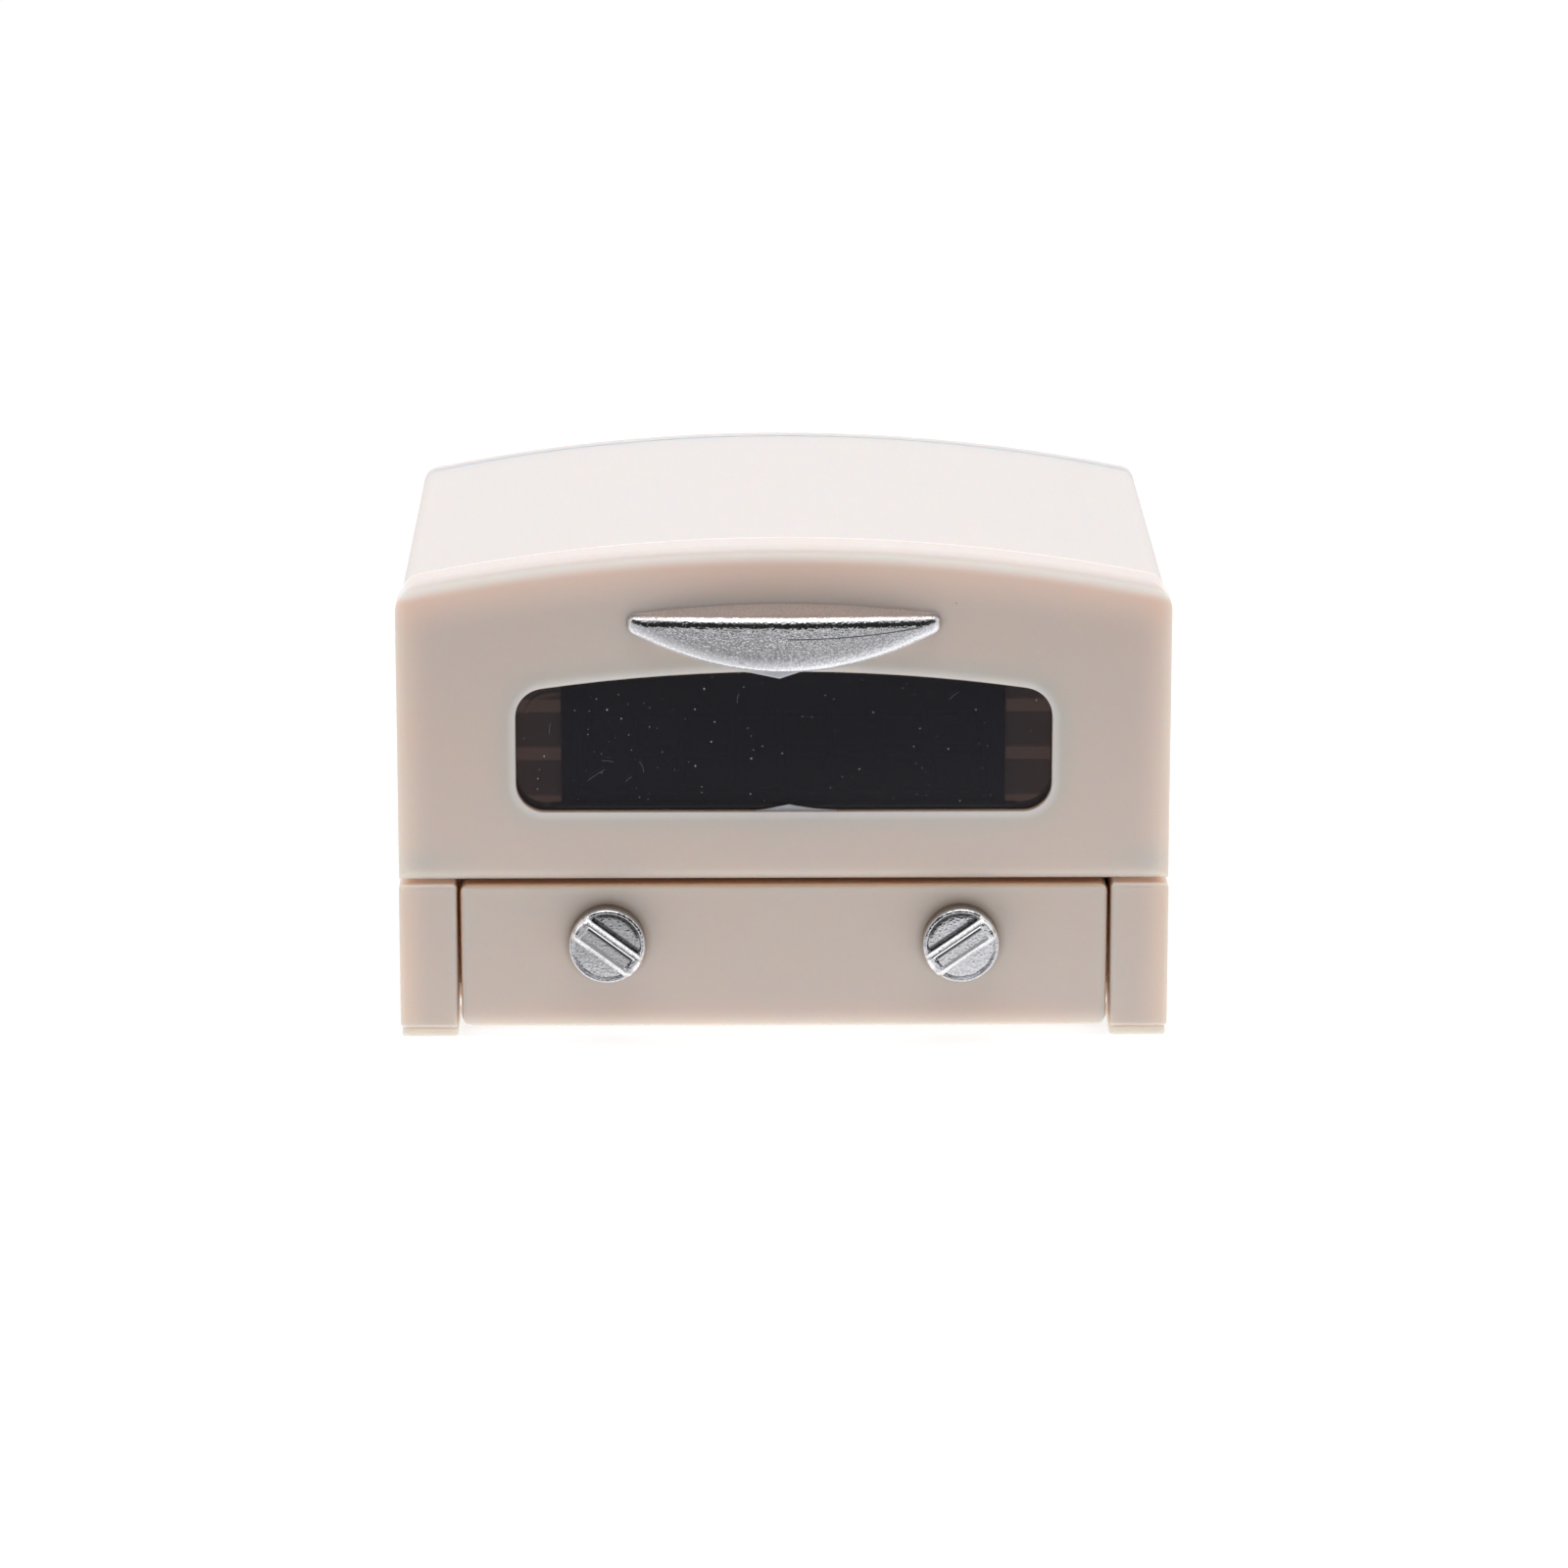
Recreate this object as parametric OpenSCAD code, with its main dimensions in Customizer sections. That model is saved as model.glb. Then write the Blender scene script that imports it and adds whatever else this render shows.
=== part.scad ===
// Dollhouse toaster oven with an arched top, a drop-down window door and a
// drawer under it. The origin is on the table, below the middle of the oven.
// X runs to the right, Y to the back and Z up, in millimetres.

/* [Body] */
// Width over the door and the front legs
oven_w = 45; // [44:0.5:50]
// Height from the table to the crown of the arched top
oven_h = 29.45; // [29:0.05:33]
// Depth from the face of the door to the back
body_d = 32.5; // [29:0.5:40]
// Radius of the arched top, seen from the front
arch_r = 106; // [80:1:160]
// How far the door and the legs stand proud of the sleeve on each side
flare = 0.35; // [0.2:0.05:0.5]
// Wall of the arched sleeve
wall = 1.2; // [1:0.05:1.5]
// Rounding of the sleeve's two shoulders
sleeve_r = 1.2; // [0.5:0.05:1.5]
// Thickness of the rear cover
cover_t = 1.6; // [1.4:0.1:2]
// Rounding of the rear cover's outer edge
cover_edge = 0.7; // [0.3:0.05:1]
// Thickness of the four foot pads
foot_h = 0.5; // [0.4:0.05:0.7]
// Length of a foot pad
foot_l = 5; // [4:0.25:6]
// Diameter of a foot pad's peg
foot_peg_d = 1.1; // [0.8:0.05:1.4]

/* [Lower frame] */
// Height of the lower frame, from its underside to the tops of the legs
frame_h = 8.7; // [8.5:0.1:9.5]
// Width of a front leg
leg_w = 3.4; // [3.2:0.1:3.8]
// Depth of a front leg
leg_d = 3; // [2.8:0.1:4]
// Rounding of a leg's front edges
leg_edge = 0.3; // [0.2:0.05:0.6]
// Side wall of the lower frame
frame_wall = 2; // [1.8:0.1:2.2]
// Thickness of the lower frame's floor
floor_t = 1; // [0.8:0.1:1.2]
// Distance from the face of the legs to the front of the floor
floor_setback = 6; // [5:0.5:8]
// Thickness of the deck between the oven and the drawer
deck_t = 1; // [0.8:0.1:1.2]

/* [Door] */
// Thickness of the door
door_t = 2.3; // [2.2:0.05:2.6]
// Gap between the back of the door and the sleeve
door_gap = 0.15; // [0.1:0.05:0.3]
// Gap between the lower edge of the door and the tops of the legs
sill_gap = 0.25; // [0.2:0.05:0.4]
// Rounding of the door's two shoulders
door_r = 2; // [0.8:0.1:2.4]
// Rounding of the door's front edge along the top and the sides
door_edge = 0.7; // [0.3:0.05:1.2]
// Rounding of the door's lower front edge
door_foot = 0.8; // [0.75:0.05:1]

/* [Window] */
// Width of the window opening
window_w = 31.15; // [26:0.05:33]
// Height of the window opening in the middle
window_h = 8.4; // [7:0.05:9]
// Distance from the door's lower edge to the window opening
window_rise = 4.2; // [3.5:0.05:5]
// Corner rounding of the window opening
window_r = 1.7; // [1.2:0.05:2.5]
// Lip of the door in front of the pane
lip_t = 0.5; // [0.4:0.05:0.7]
// How far the pane reaches past the opening on every side
rebate = 0.7; // [0.5:0.05:1]
// Thickness of the smoked pane
pane_t = 0.8; // [0.6:0.05:1]

/* [Handle] */
// Width of the crescent handle
handle_w = 17.9; // [14:0.1:22]
// How far the handle stands out from the door
handle_out = 2.5; // [2.2:0.1:3]
// Height of the handle in the middle
handle_h = 3.6; // [3:0.1:4]
// Distance from the crown of the oven down to the top of the handle
handle_drop = 3.35; // [3:0.05:3.6]
// How far the front of the handle falls back at its ends
handle_sweep = 2.1; // [1.5:0.05:2.15]
// How far the lower edge of the handle rises at its ends
handle_rise = 2.25; // [1.8:0.05:2.3]
// How far the top of the handle falls at its ends
handle_bow = 0.65; // [0.4:0.05:0.8]
// Thickness of the handle's walls
handle_wall = 0.8; // [0.6:0.05:1]
// Diameter of the handle's two pegs
peg_d = 1; // [0.8:0.05:1.2]
// Length of a peg behind the door's face
peg_l = 1.6; // [1.2:0.1:1.8]
// Distance between the two pegs
peg_pitch = 9; // [6:0.5:10]

/* [Hinge] */
// Diameter of the hinge pins
pin_d = 0.8; // [0.7:0.05:0.9]
// Radial play of a pin in the door
pin_play = 0.05; // [0.03:0.01:0.08]
// Length of a pin inside the door
pin_grip = 2; // [1.5:0.1:2.5]
// Radius of the ear on the sleeve that holds a pin
ear_r = 0.7; // [0.65:0.05:0.75]
// Thickness of an ear, which stands inside the sleeve's outer face
ear_t = 0.85; // [0.8:0.05:1]
// How far the neck of an ear reaches below the hinge axis
ear_low = 0.45; // [0.3:0.05:0.5]
// Play round an ear inside the door's notch
ear_play = 0.1; // [0.08:0.01:0.15]

/* [Drawer] */
// Gap between the drawer front and each leg
side_gap = 0.2; // [0.15:0.05:0.3]
// Gap between the drawer front and the door
top_gap = 0.25; // [0.2:0.05:0.5]
// Height of the drawer front's lower edge over the underside of the legs
panel_lift = 0.07; // [0.05:0.01:0.3]
// Thickness of the drawer front
panel_t = 1.6; // [1.4:0.05:1.8]
// Rounding of the drawer front's upper corners
panel_top_r = 0.5; // [0.3:0.05:0.8]
// Rounding of the drawer front's lower corners
panel_low_r = 0.8; // [0.5:0.05:1]
// Rounding of the drawer front's face edges
panel_edge = 0.3; // [0.2:0.05:0.4]
// Length of the tray behind the drawer front
tray_l = 21; // [12:0.5:25]
// Height of the tray
tray_h = 5.3; // [4.9:0.1:5.6]
// Walls and floor of the tray
tray_t = 0.8; // [0.6:0.05:0.9]
// Running gap round the tray
tray_gap = 0.15; // [0.1:0.01:0.25]
// Thickness of the two rails that guide the tray
rail_t = 0.8; // [0.6:0.05:0.9]

/* [Knobs] */
// Diameter of a knob
knob_d = 4.45; // [4:0.05:4.8]
// Height of a knob over the drawer front, without its grip bar
knob_t = 1.3; // [1.1:0.05:1.6]
// Rounding of a knob's front edge
knob_edge = 0.25; // [0.15:0.05:0.4]
// Distance between the two knobs
knob_pitch = 20.65; // [16:0.05:24]
// Height of the knobs over the underside of the legs
knob_rise = 5.35; // [4.9:0.05:5.5]
// Width of the raised rim round the face of a knob
rim_w = 0.25; // [0.2:0.05:0.4]
// Depth of the face behind its rim
face_sink = 0.2; // [0.1:0.05:0.3]
// Width of the grip bar
bar_w = 1.58; // [1.4:0.02:2]
// Height of the grip bar over the rim
bar_h = 0.5; // [0.4:0.05:0.8]
// Width of the pocket along the grip bar
pocket_w = 0.65; // [0.5:0.05:0.8]
// Length of the pocket along the grip bar
pocket_l = 3.2; // [2.4:0.1:3.4]
// Depth of the pocket
pocket_t = 0.55; // [0.4:0.05:0.7]
// Angle at which the left knob is set
left_angle = 37; // [-90:1:90]
// Angle at which the right knob is set
right_angle = -35; // [-90:1:90]
// Diameter of a knob's shaft
shaft_d = 1.6; // [1.4:0.05:1.8]
// Radial play of a shaft in the drawer front
shaft_play = 0.05; // [0.03:0.01:0.08]
// Diameter of the clip pressed on the shaft's end
clip_d = 3; // [2.6:0.1:3.4]
// Thickness of the clip
clip_t = 0.5; // [0.4:0.05:0.6]

/* [Oven chamber] */
// Width of the dark chamber
liner_w = 26; // [20:0.5:30]
// Height of the chamber
liner_h = 14; // [12:0.1:14.5]
// Length of the chamber
liner_d = 22.5; // [19.5:0.5:26]
// Walls of the chamber
liner_t = 0.7; // [0.6:0.05:0.8]
// Distance from the door's back to the chamber's mouth
liner_setback = 1.8; // [1.6:0.1:2.5]
// Thickness of the bulkhead that holds the chamber
bulkhead_t = 1; // [0.8:0.1:1.4]
// How far the bulkhead lies behind the chamber's mouth
bulkhead_setback = 0.7; // [0.5:0.1:1.2]
// Thickness of a rib on the bulkhead
rib_t = 0.7; // [0.5:0.05:0.9]
// How far the ribs stand out from the bulkhead
rib_out = 0.9; // [0.6:0.1:1.1]
// Distance from one rib to the next
rib_pitch = 2.9; // [2.4:0.1:3.4]
// Height of the lowest rib over the deck
rib_rise = 3; // [2.5:0.1:4]
// Height of the rack ledges over the chamber's floor
ledge_rise = 2.3; // [1.5:0.1:4]
// Size of the ledges, across and upright
ledge_s = 0.8; // [0.6:0.05:1]

/* [Rack] */
// Diameter of the rack's frame wire
frame_wire = 0.6; // [0.5:0.05:0.8]
// Diameter of the rack's three cross wires
cross_wire = 0.4; // [0.3:0.02:0.6]
// Diameter of the rack's long wires
long_wire = 0.44; // [0.3:0.02:0.6]
// Number of long wires
long_wires = 7; // [3:1:9]
// Length of the rack
rack_l = 18; // [12:0.5:21]
// Gap between the rack and the chamber's side walls
rack_gap = 0.15; // [0.1:0.05:0.3]
// Distance from the chamber's mouth to the rack
rack_setback = 0.6; // [0.4:0.1:2]

/* [Screws] */
// Shank diameter of the rear cover's four screws
screw_d = 1.3; // [1:0.05:1.5]
// Shank length
screw_l = 4; // [3:0.25:5]
// Head diameter
head_d = 2.6; // [2.2:0.1:3]
// Head thickness
head_t = 0.8; // [0.6:0.05:0.9]
// Length of the cross in a screw's head
cross_l = 1.7; // [1.2:0.1:2]
// Width of the cross
cross_w = 0.45; // [0.3:0.05:0.6]
// Depth of the cross
cross_t = 0.4; // [0.2:0.05:0.5]
// Diameter of the bosses that take the screws
boss_d = 2.8; // [2.6:0.1:3.2]
// Gap between a boss and the side wall beside it, which a web bridges
boss_gap = 0.2; // [0.1:0.05:0.6]
// How far a boss reaches past the tip of its screw
boss_end = 0.6; // [0.4:0.1:1]
// Distance of the upper screws from the crown
upper_screw_drop = 6.5; // [6:0.1:9]
// Height of the lower screws over the underside of the frame
lower_screw_rise = 4.4; // [3.5:0.1:5.5]

/* [Hidden] */
$fn = 48;
// Facets of the large arcs, drawn finely
arc_fn = 360;
// Overlap of shapes that are joined or cut
lap = 0.1;
// Play between pieces that are fixed together
seat = 0.05;
// How far welded wires sink into each other
weld = 0.1;
// Depth of the shallow louvres in the rear cover
louvre_sink = 0.4;
louvre_w = 12;
louvre_t = 0.7;
louvre_pitch = 1.6;
louvres = 6;

beige = [0.84, 0.77, 0.72];
foot_beige = [0.82, 0.75, 0.66];
silver = [0.75, 0.76, 0.78];
smoke = [0.10, 0.09, 0.09, 0.6];
black = [0.09, 0.09, 0.10];
steel = [0.55, 0.55, 0.57];

// Planes from front to back
front_y = handle_out - (body_d + handle_out) / 2;
rear_y = front_y + body_d;
door_back_y = front_y + door_t;
sleeve_y = door_back_y + door_gap;
cover_y = rear_y - cover_t;
liner_y = door_back_y + liner_setback;
bulkhead_y = liner_y + bulkhead_setback;
floor_y = front_y + floor_setback;
panel_back_y = front_y + panel_t;

// Levels from the table up
frame_z = foot_h;
frame_top = frame_z + frame_h;
floor_top = frame_z + floor_t;
deck_top = frame_top + deck_t;
door_z = frame_top + sill_gap;
tray_z = floor_top + tray_gap;
tray_top = tray_z + tray_h;

// Sleeve
sleeve_w = oven_w - 2 * flare;
sleeve_in_w = sleeve_w - 2 * wall;
arch_z = oven_h - arch_r;

// Hinge axis, in the middle of the door's thickness
hinge_y = front_y + door_t / 2;
hinge_z = door_z + door_t / 2;
ear_x = sleeve_in_w / 2;
ear_end_x = ear_x + ear_t;

// Window
window_z = door_z + window_rise;
window_crown = window_z + window_h;
lip_y = front_y + lip_t;

// Lower frame
frame_in_w = sleeve_w - 2 * frame_wall;
leg_in_x = oven_w / 2 - leg_w;
tray_w = 2 * (frame_in_w / 2 - rail_t - tray_gap - side_play());
rail_in_x = tray_w / 2 + tray_gap;
panel_w = 2 * (leg_in_x - side_gap);
panel_z = frame_z + panel_lift;
panel_h = door_z - top_gap - panel_z;
tray_end_y = panel_back_y + tray_l;

// Chamber
liner_in_w = liner_w - 2 * liner_t;
liner_floor = deck_top + liner_t;
ledge_top = liner_floor + ledge_rise;
rack_y = liner_y + rack_setback;
rack_w = liner_in_w - 2 * rack_gap;
rack_z = ledge_top + frame_wire / 2 + seat;

// Knobs
knob_z = frame_z + knob_rise;
knob_back_y = front_y - seat;
clip_y = panel_back_y + seat;

// Screws
upper_screw_x = sleeve_in_w / 2 - boss_gap - boss_d / 2;
lower_screw_x = frame_in_w / 2 - boss_gap - boss_d / 2;
upper_screw_z = oven_h - upper_screw_drop;
lower_screw_z = frame_z + lower_screw_rise;
boss_l = screw_l - cover_t + head_t + boss_end;
screw_places = [
    [-upper_screw_x, upper_screw_z], [upper_screw_x, upper_screw_z],
    [-lower_screw_x, lower_screw_z], [lower_screw_x, lower_screw_z]
];

// Room that keeps the rails inside the legs' inner faces
function side_play() = max(0, frame_in_w / 2 - leg_in_x);

// Rectangle from y = 0 up, centred on x, with rounded lower and upper corners.
module round_panel(w, h, low_r, top_r) {
    translate([-w / 2, low_r])
        square([w, h - low_r - top_r]);
    translate([low_r - w / 2, 0])
        square([w - 2 * low_r, h / 2]);
    translate([top_r - w / 2, h / 2])
        square([w - 2 * top_r, h / 2]);
    for (side = [-1, 1]) {
        translate([side * (w / 2 - low_r), low_r])
            circle(low_r);
        translate([side * (w / 2 - top_r), h - top_r])
            circle(top_r);
    }
}

// Outline with an arched top, rounded shoulders and rounded lower corners.
module arched_outline(w, low, crown, r, shoulder, low_r) {
    centre_z = crown - r;
    corner_x = w / 2 - shoulder;
    corner_z = centre_z + sqrt(pow(r - shoulder, 2) - pow(corner_x, 2));
    meet_x = corner_x * r / (r - shoulder);
    intersection() {
        translate([0, centre_z])
            circle(r, $fn = arc_fn);
        translate([-meet_x, low + low_r])
            square([2 * meet_x, r]);
    }
    translate([-w / 2, low + low_r])
        square([w, corner_z - low - low_r]);
    for (side = [-1, 1])
        translate([side * corner_x, corner_z])
            circle(shoulder);
    if (low_r > 0) {
        translate([low_r - w / 2, low])
            square([w - 2 * low_r, low_r + lap]);
        for (side = [-1, 1])
            translate([side * (w / 2 - low_r), low + low_r])
                circle(low_r);
    }
}

// The arched outline as a plate from y0 to y1.
module arched_plate(y0, y1, w, low, crown, r, shoulder, low_r = 0) {
    translate([0, y1, 0])
        rotate([90, 0, 0])
            linear_extrude(y1 - y0)
                arched_outline(w, low, crown, r, shoulder, low_r);
}

// Plate of the oven's own arch, grown outwards by g.
module oven_plate(y0, y1, w, low, shoulder, g = 0) {
    arched_plate(y0, y1, w + 2 * g, low, oven_h + g, arch_r + g, shoulder);
}

// Window outline grown by g on every side, as a plate.
module window_plate(y0, y1, g) {
    arched_plate(y0, y1, window_w + 2 * g, window_z - g, window_crown + g,
        arch_r - (oven_h - window_crown) + g, window_r + g, window_r + g);
}

// Disc round the arch's axis from y = 0 to t, its front rim rounded by edge.
module round_rim_disc(r, t, edge) {
    rotate([-90, 0, 0])
        rotate_extrude($fn = arc_fn) {
            square([r - edge, t]);
            translate([0, edge])
                square([r, t - edge]);
            translate([r - edge, edge])
                circle(edge, $fn = 48);
        }
}

// Rectangle from y = 0 to d, centred on x, its two corners at y = 0 rounded.
module round_front(w, d, r) {
    translate([-w / 2, r])
        square([w, d - r]);
    translate([r - w / 2, 0])
        square([w - 2 * r, d / 2]);
    for (side = [-1, 1])
        translate([side * (w / 2 - r), r])
            circle(r);
}

// Block from y = 0 to d with all four edges of its front face rounded.
module soft_block(w, d, h, low_r, top_r, edge) {
    intersection() {
        translate([0, d, 0])
            rotate([90, 0, 0])
                linear_extrude(d)
                    round_panel(w, h, low_r, top_r);
        translate([0, 0, -lap])
            linear_extrude(h + 2 * lap)
                round_front(w, d + lap, edge);
        translate([-w / 2 - lap, 0, h / 2])
            rotate([90, 0, 90])
                linear_extrude(w + 2 * lap)
                    rotate(-90)
                        round_front(h, d + lap, edge);
    }
}

// Cylinder along +Y from y0 to y1, round the axis at x and z.
module y_rod(x, z, y0, y1, r) {
    translate([x, y0, z])
        rotate([-90, 0, 0])
            cylinder(h = y1 - y0, r = r);
}

// Cylinder along +X from x0 to x1, round the axis at y and z.
module x_rod(y, z, x0, x1, r) {
    translate([x0, y, z])
        rotate([0, 90, 0])
            cylinder(h = x1 - x0, r = r);
}

// Box given by its lowest and highest corners.
module span(low, high) {
    translate(low)
        cube(high - low);
}

// Draws its children as they are and mirrored to the other side.
module both_sides() {
    children();
    mirror([1, 0, 0])
        children();
}

// Ear on the sleeve that carries a hinge pin, on the right-hand side.
module hinge_ear() {
    difference() {
        union() {
            x_rod(hinge_y, hinge_z, ear_x, ear_end_x, ear_r);
            span([ear_x, hinge_y, hinge_z - ear_low],
                 [ear_end_x, sleeve_y + lap, hinge_z + ear_r]);
        }
        x_rod(hinge_y, hinge_z, ear_x - lap, ear_end_x + lap, pin_d / 2);
    }
}

// Boss for a screw, ending at the rear cover, with a web to the side wall.
module screw_boss(x, z, wall_x) {
    difference() {
        union() {
            y_rod(x, z, cover_y - boss_l, cover_y, boss_d / 2);
            span([x, cover_y - boss_l, z - boss_d / 4],
                 [wall_x, cover_y, z + boss_d / 4]);
        }
        y_rod(x, z, cover_y - boss_l - lap, cover_y + lap, screw_d / 2);
    }
}

// Arched sleeve: top and side walls, with the bulkhead round the chamber,
// the ribs on it, the hinge ears and the upper screw bosses.
module housing_shell() {
    color(beige) {
        difference() {
            oven_plate(sleeve_y, cover_y, sleeve_w, frame_top, sleeve_r);
            arched_plate(sleeve_y - lap, cover_y + lap, sleeve_in_w,
                frame_top - lap, oven_h - wall, arch_r - wall, sleeve_r / 2);
        }
        difference() {
            arched_plate(bulkhead_y, bulkhead_y + bulkhead_t, sleeve_in_w + wall,
                deck_top, oven_h - wall / 2, arch_r - wall / 2, sleeve_r / 2);
            span([-liner_w / 2 - seat, bulkhead_y - lap, deck_top - lap],
                 [liner_w / 2 + seat, bulkhead_y + bulkhead_t + lap,
                  deck_top + liner_h + seat]);
        }
        both_sides() {
            for (i = [0 : 2])
                translate([0, 0, deck_top + rib_rise + i * rib_pitch])
                    span([liner_w / 2 + seat, bulkhead_y - rib_out, -rib_t / 2],
                         [sleeve_in_w / 2 + lap, bulkhead_y + lap, rib_t / 2]);
            hinge_ear();
            screw_boss(upper_screw_x, upper_screw_z, sleeve_in_w / 2 + lap);
        }
    }
}

// Rear cover over the sleeve and the lower frame, with sunk screw heads.
module rear_cover() {
    color(beige)
        difference() {
            intersection() {
                oven_plate(cover_y, rear_y, sleeve_w, frame_z, sleeve_r);
                translate([0, rear_y, arch_z])
                    mirror([0, 1, 0])
                        round_rim_disc(arch_r, cover_t + lap, cover_edge);
                translate([0, rear_y, 0])
                    mirror([0, 1, 0])
                        linear_extrude(oven_h + lap)
                            round_front(sleeve_w, cover_t + lap, cover_edge);
            }
            for (place = screw_places) {
                y_rod(place[0], place[1], cover_y - lap, rear_y + lap, screw_d / 2 + seat);
                y_rod(place[0], place[1], rear_y - head_t - lap, rear_y + lap,
                    head_d / 2 + seat);
            }
            for (i = [0 : louvres - 1])
                translate([0, 0, deck_top + liner_h / 2 + (i - louvres / 2) * louvre_pitch])
                    span([-louvre_w / 2, rear_y - louvre_sink, 0],
                         [louvre_w / 2, rear_y + lap, louvre_t]);
        }
}

// Lower frame: floor, side walls, front legs, tray rails and lower bosses.
module base_frame() {
    lip_z = tray_top + tray_gap;
    color(beige)
        difference() {
            union() {
                span([-frame_in_w / 2 - lap, floor_y, frame_z],
                     [frame_in_w / 2 + lap, cover_y, floor_top]);
                both_sides() {
                    span([frame_in_w / 2, front_y + leg_d - lap, frame_z],
                         [sleeve_w / 2, cover_y, frame_top]);
                    translate([oven_w / 2 - leg_w / 2, front_y, frame_z])
                        soft_block(leg_w, leg_d, frame_h, leg_edge, leg_edge, leg_edge);
                    span([rail_in_x, floor_y, frame_z],
                         [rail_in_x + rail_t, tray_end_y, lip_z + rail_t]);
                    span([rail_in_x - rail_t, floor_y, lip_z],
                         [rail_in_x + lap, tray_end_y, lip_z + rail_t]);
                    screw_boss(lower_screw_x, lower_screw_z, frame_in_w / 2 + lap);
                }
            }
            both_sides()
                foot_pegs(lap);
        }
}

// Pegs of the two right-hand foot pads; extra lengthens them for the holes.
module foot_pegs(extra) {
    for (y = [front_y + foot_l / 2, cover_y - foot_l / 2])
        translate([oven_w / 2 - leg_w / 2, y, foot_h - extra])
            cylinder(h = floor_t + extra, d = foot_peg_d);
}

// Four foot pads, pegged into the underside of the lower frame.
module foot_pads() {
    color(foot_beige)
        both_sides() {
            for (y = [front_y + seat, cover_y - foot_l])
                translate([oven_w / 2 - leg_w / 2 - seat, y, 0])
                    linear_extrude(foot_h)
                        round_panel(leg_w - 2 * seat, foot_l - seat, leg_edge, leg_edge);
            foot_pegs(lap);
        }
}

// Deck between the oven and the drawer, resting on the frame's side walls.
module deck_plate() {
    color(beige)
        span([-sleeve_in_w / 2 + seat, sleeve_y + seat, frame_top],
             [sleeve_in_w / 2 - seat, cover_y, deck_top]);
}

// Dark oven chamber, open at the front, with a ledge along each side.
module oven_liner() {
    color(black)
        difference() {
            span([-liner_w / 2, liner_y, deck_top],
                 [liner_w / 2, liner_y + liner_d, deck_top + liner_h]);
            difference() {
                span([-liner_in_w / 2, liner_y - lap, liner_floor],
                     [liner_in_w / 2, liner_y + liner_d - liner_t,
                      deck_top + liner_h - liner_t]);
                both_sides()
                    span([liner_in_w / 2 - ledge_s, liner_y, ledge_top - ledge_s],
                         [liner_in_w / 2 + lap, liner_y + liner_d, ledge_top]);
            }
        }
}

// One screw along Y with a sunk cross in its head.
module screw(x, z) {
    difference() {
        union() {
            y_rod(x, z, rear_y - head_t, rear_y - seat, head_d / 2);
            y_rod(x, z, rear_y - head_t - screw_l, rear_y - head_t + lap, screw_d / 2);
        }
        for (turn = [0, 90])
            translate([x, rear_y, z])
                rotate([0, turn, 0])
                    span([-cross_l / 2, -cross_t, -cross_w / 2],
                         [cross_l / 2, lap, cross_w / 2]);
    }
}

// Four screws that hold the rear cover to the sleeve and the frame.
module cover_screws() {
    color(steel)
        for (place = screw_places)
            screw(place[0], place[1]);
}

// Hinge pin on the right-hand side, fixed in the ear and free in the door.
module hinge_pin() {
    color(steel)
        x_rod(hinge_y, hinge_z, ear_x - seat - pin_grip, ear_end_x, pin_d / 2);
}

module hinge_pin_left() {
    mirror([1, 0, 0])
        hinge_pin();
}

module hinge_pin_right() {
    hinge_pin();
}

// Notch behind the door's lower corner, clear of the ear from shut to open
// and closed on its outer side.
module ear_notch() {
    x0 = ear_x - 2 * seat;
    x1 = ear_end_x + ear_play;
    clear_r = ear_r + ear_play;
    x_rod(hinge_y, hinge_z, x0, x1, clear_r);
    span([x0, hinge_y, door_z - lap], [x1, door_back_y + lap, hinge_z + clear_r]);
    span([x0, hinge_y - ear_low - ear_play, door_z - lap], [x1, hinge_y + lap, hinge_z]);
}

// Door: arched plate with its front edges rounded, the window opening, the
// rebate for the pane, hinge bores and holes for the handle's pegs.
module door_panel() {
    color(beige)
        difference() {
            intersection() {
                oven_plate(front_y, door_back_y, oven_w, door_z, door_r);
                translate([0, front_y, arch_z])
                    round_rim_disc(arch_r, door_t + lap, door_edge);
                translate([0, front_y, 0])
                    linear_extrude(oven_h + lap)
                        round_front(oven_w, door_t + lap, door_edge);
                door_side_form();
            }
            window_plate(front_y - lap, lip_y + lap, 0);
            window_plate(lip_y, door_back_y + lap, rebate);
            both_sides() {
                ear_notch();
                x_rod(hinge_y, hinge_z, ear_x - 2 * seat - pin_grip, ear_x + lap,
                    pin_d / 2 + pin_play);
                y_rod(peg_pitch / 2, peg_z(), front_y - lap, front_y + peg_l, peg_d / 2);
            }
        }
}

// Side view of the door drawn across its width: lower edges rounded.
module door_side_form() {
    back_r = door_t / 2;
    translate([-oven_w / 2 - lap, 0, 0])
        rotate([90, 0, 90])
            linear_extrude(oven_w + 2 * lap) {
                translate([front_y, door_z + back_r])
                    square([door_t, oven_h - door_z]);
                translate([front_y + door_foot, door_z])
                    square([door_t - door_foot - back_r, back_r + lap]);
                translate([front_y, door_z + door_foot])
                    square([door_t / 2, back_r]);
                translate([front_y + door_foot, door_z + door_foot])
                    circle(door_foot);
                translate([door_back_y - back_r, door_z + back_r])
                    circle(back_r);
            }
}

// Smoked pane, a flat plate behind the door's lip.
module window_pane() {
    color(smoke)
        window_plate(lip_y, lip_y + pane_t, rebate - seat);
}

// Frame that fills the rebate behind the pane and holds it.
module window_retainer() {
    color(beige)
        difference() {
            window_plate(lip_y + pane_t, door_back_y, rebate - seat);
            window_plate(lip_y + pane_t - lap, door_back_y + lap, 0);
        }
}

// Height of the handle's pegs, in the middle of its top wall.
function peg_z() = oven_h - handle_drop - bow_at(peg_pitch / 2) - peg_d / 2 - seat;

// How far the handle's top has fallen at x.
function bow_at(x) = handle_bow * pow(2 * x / handle_w, 2);

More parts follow.
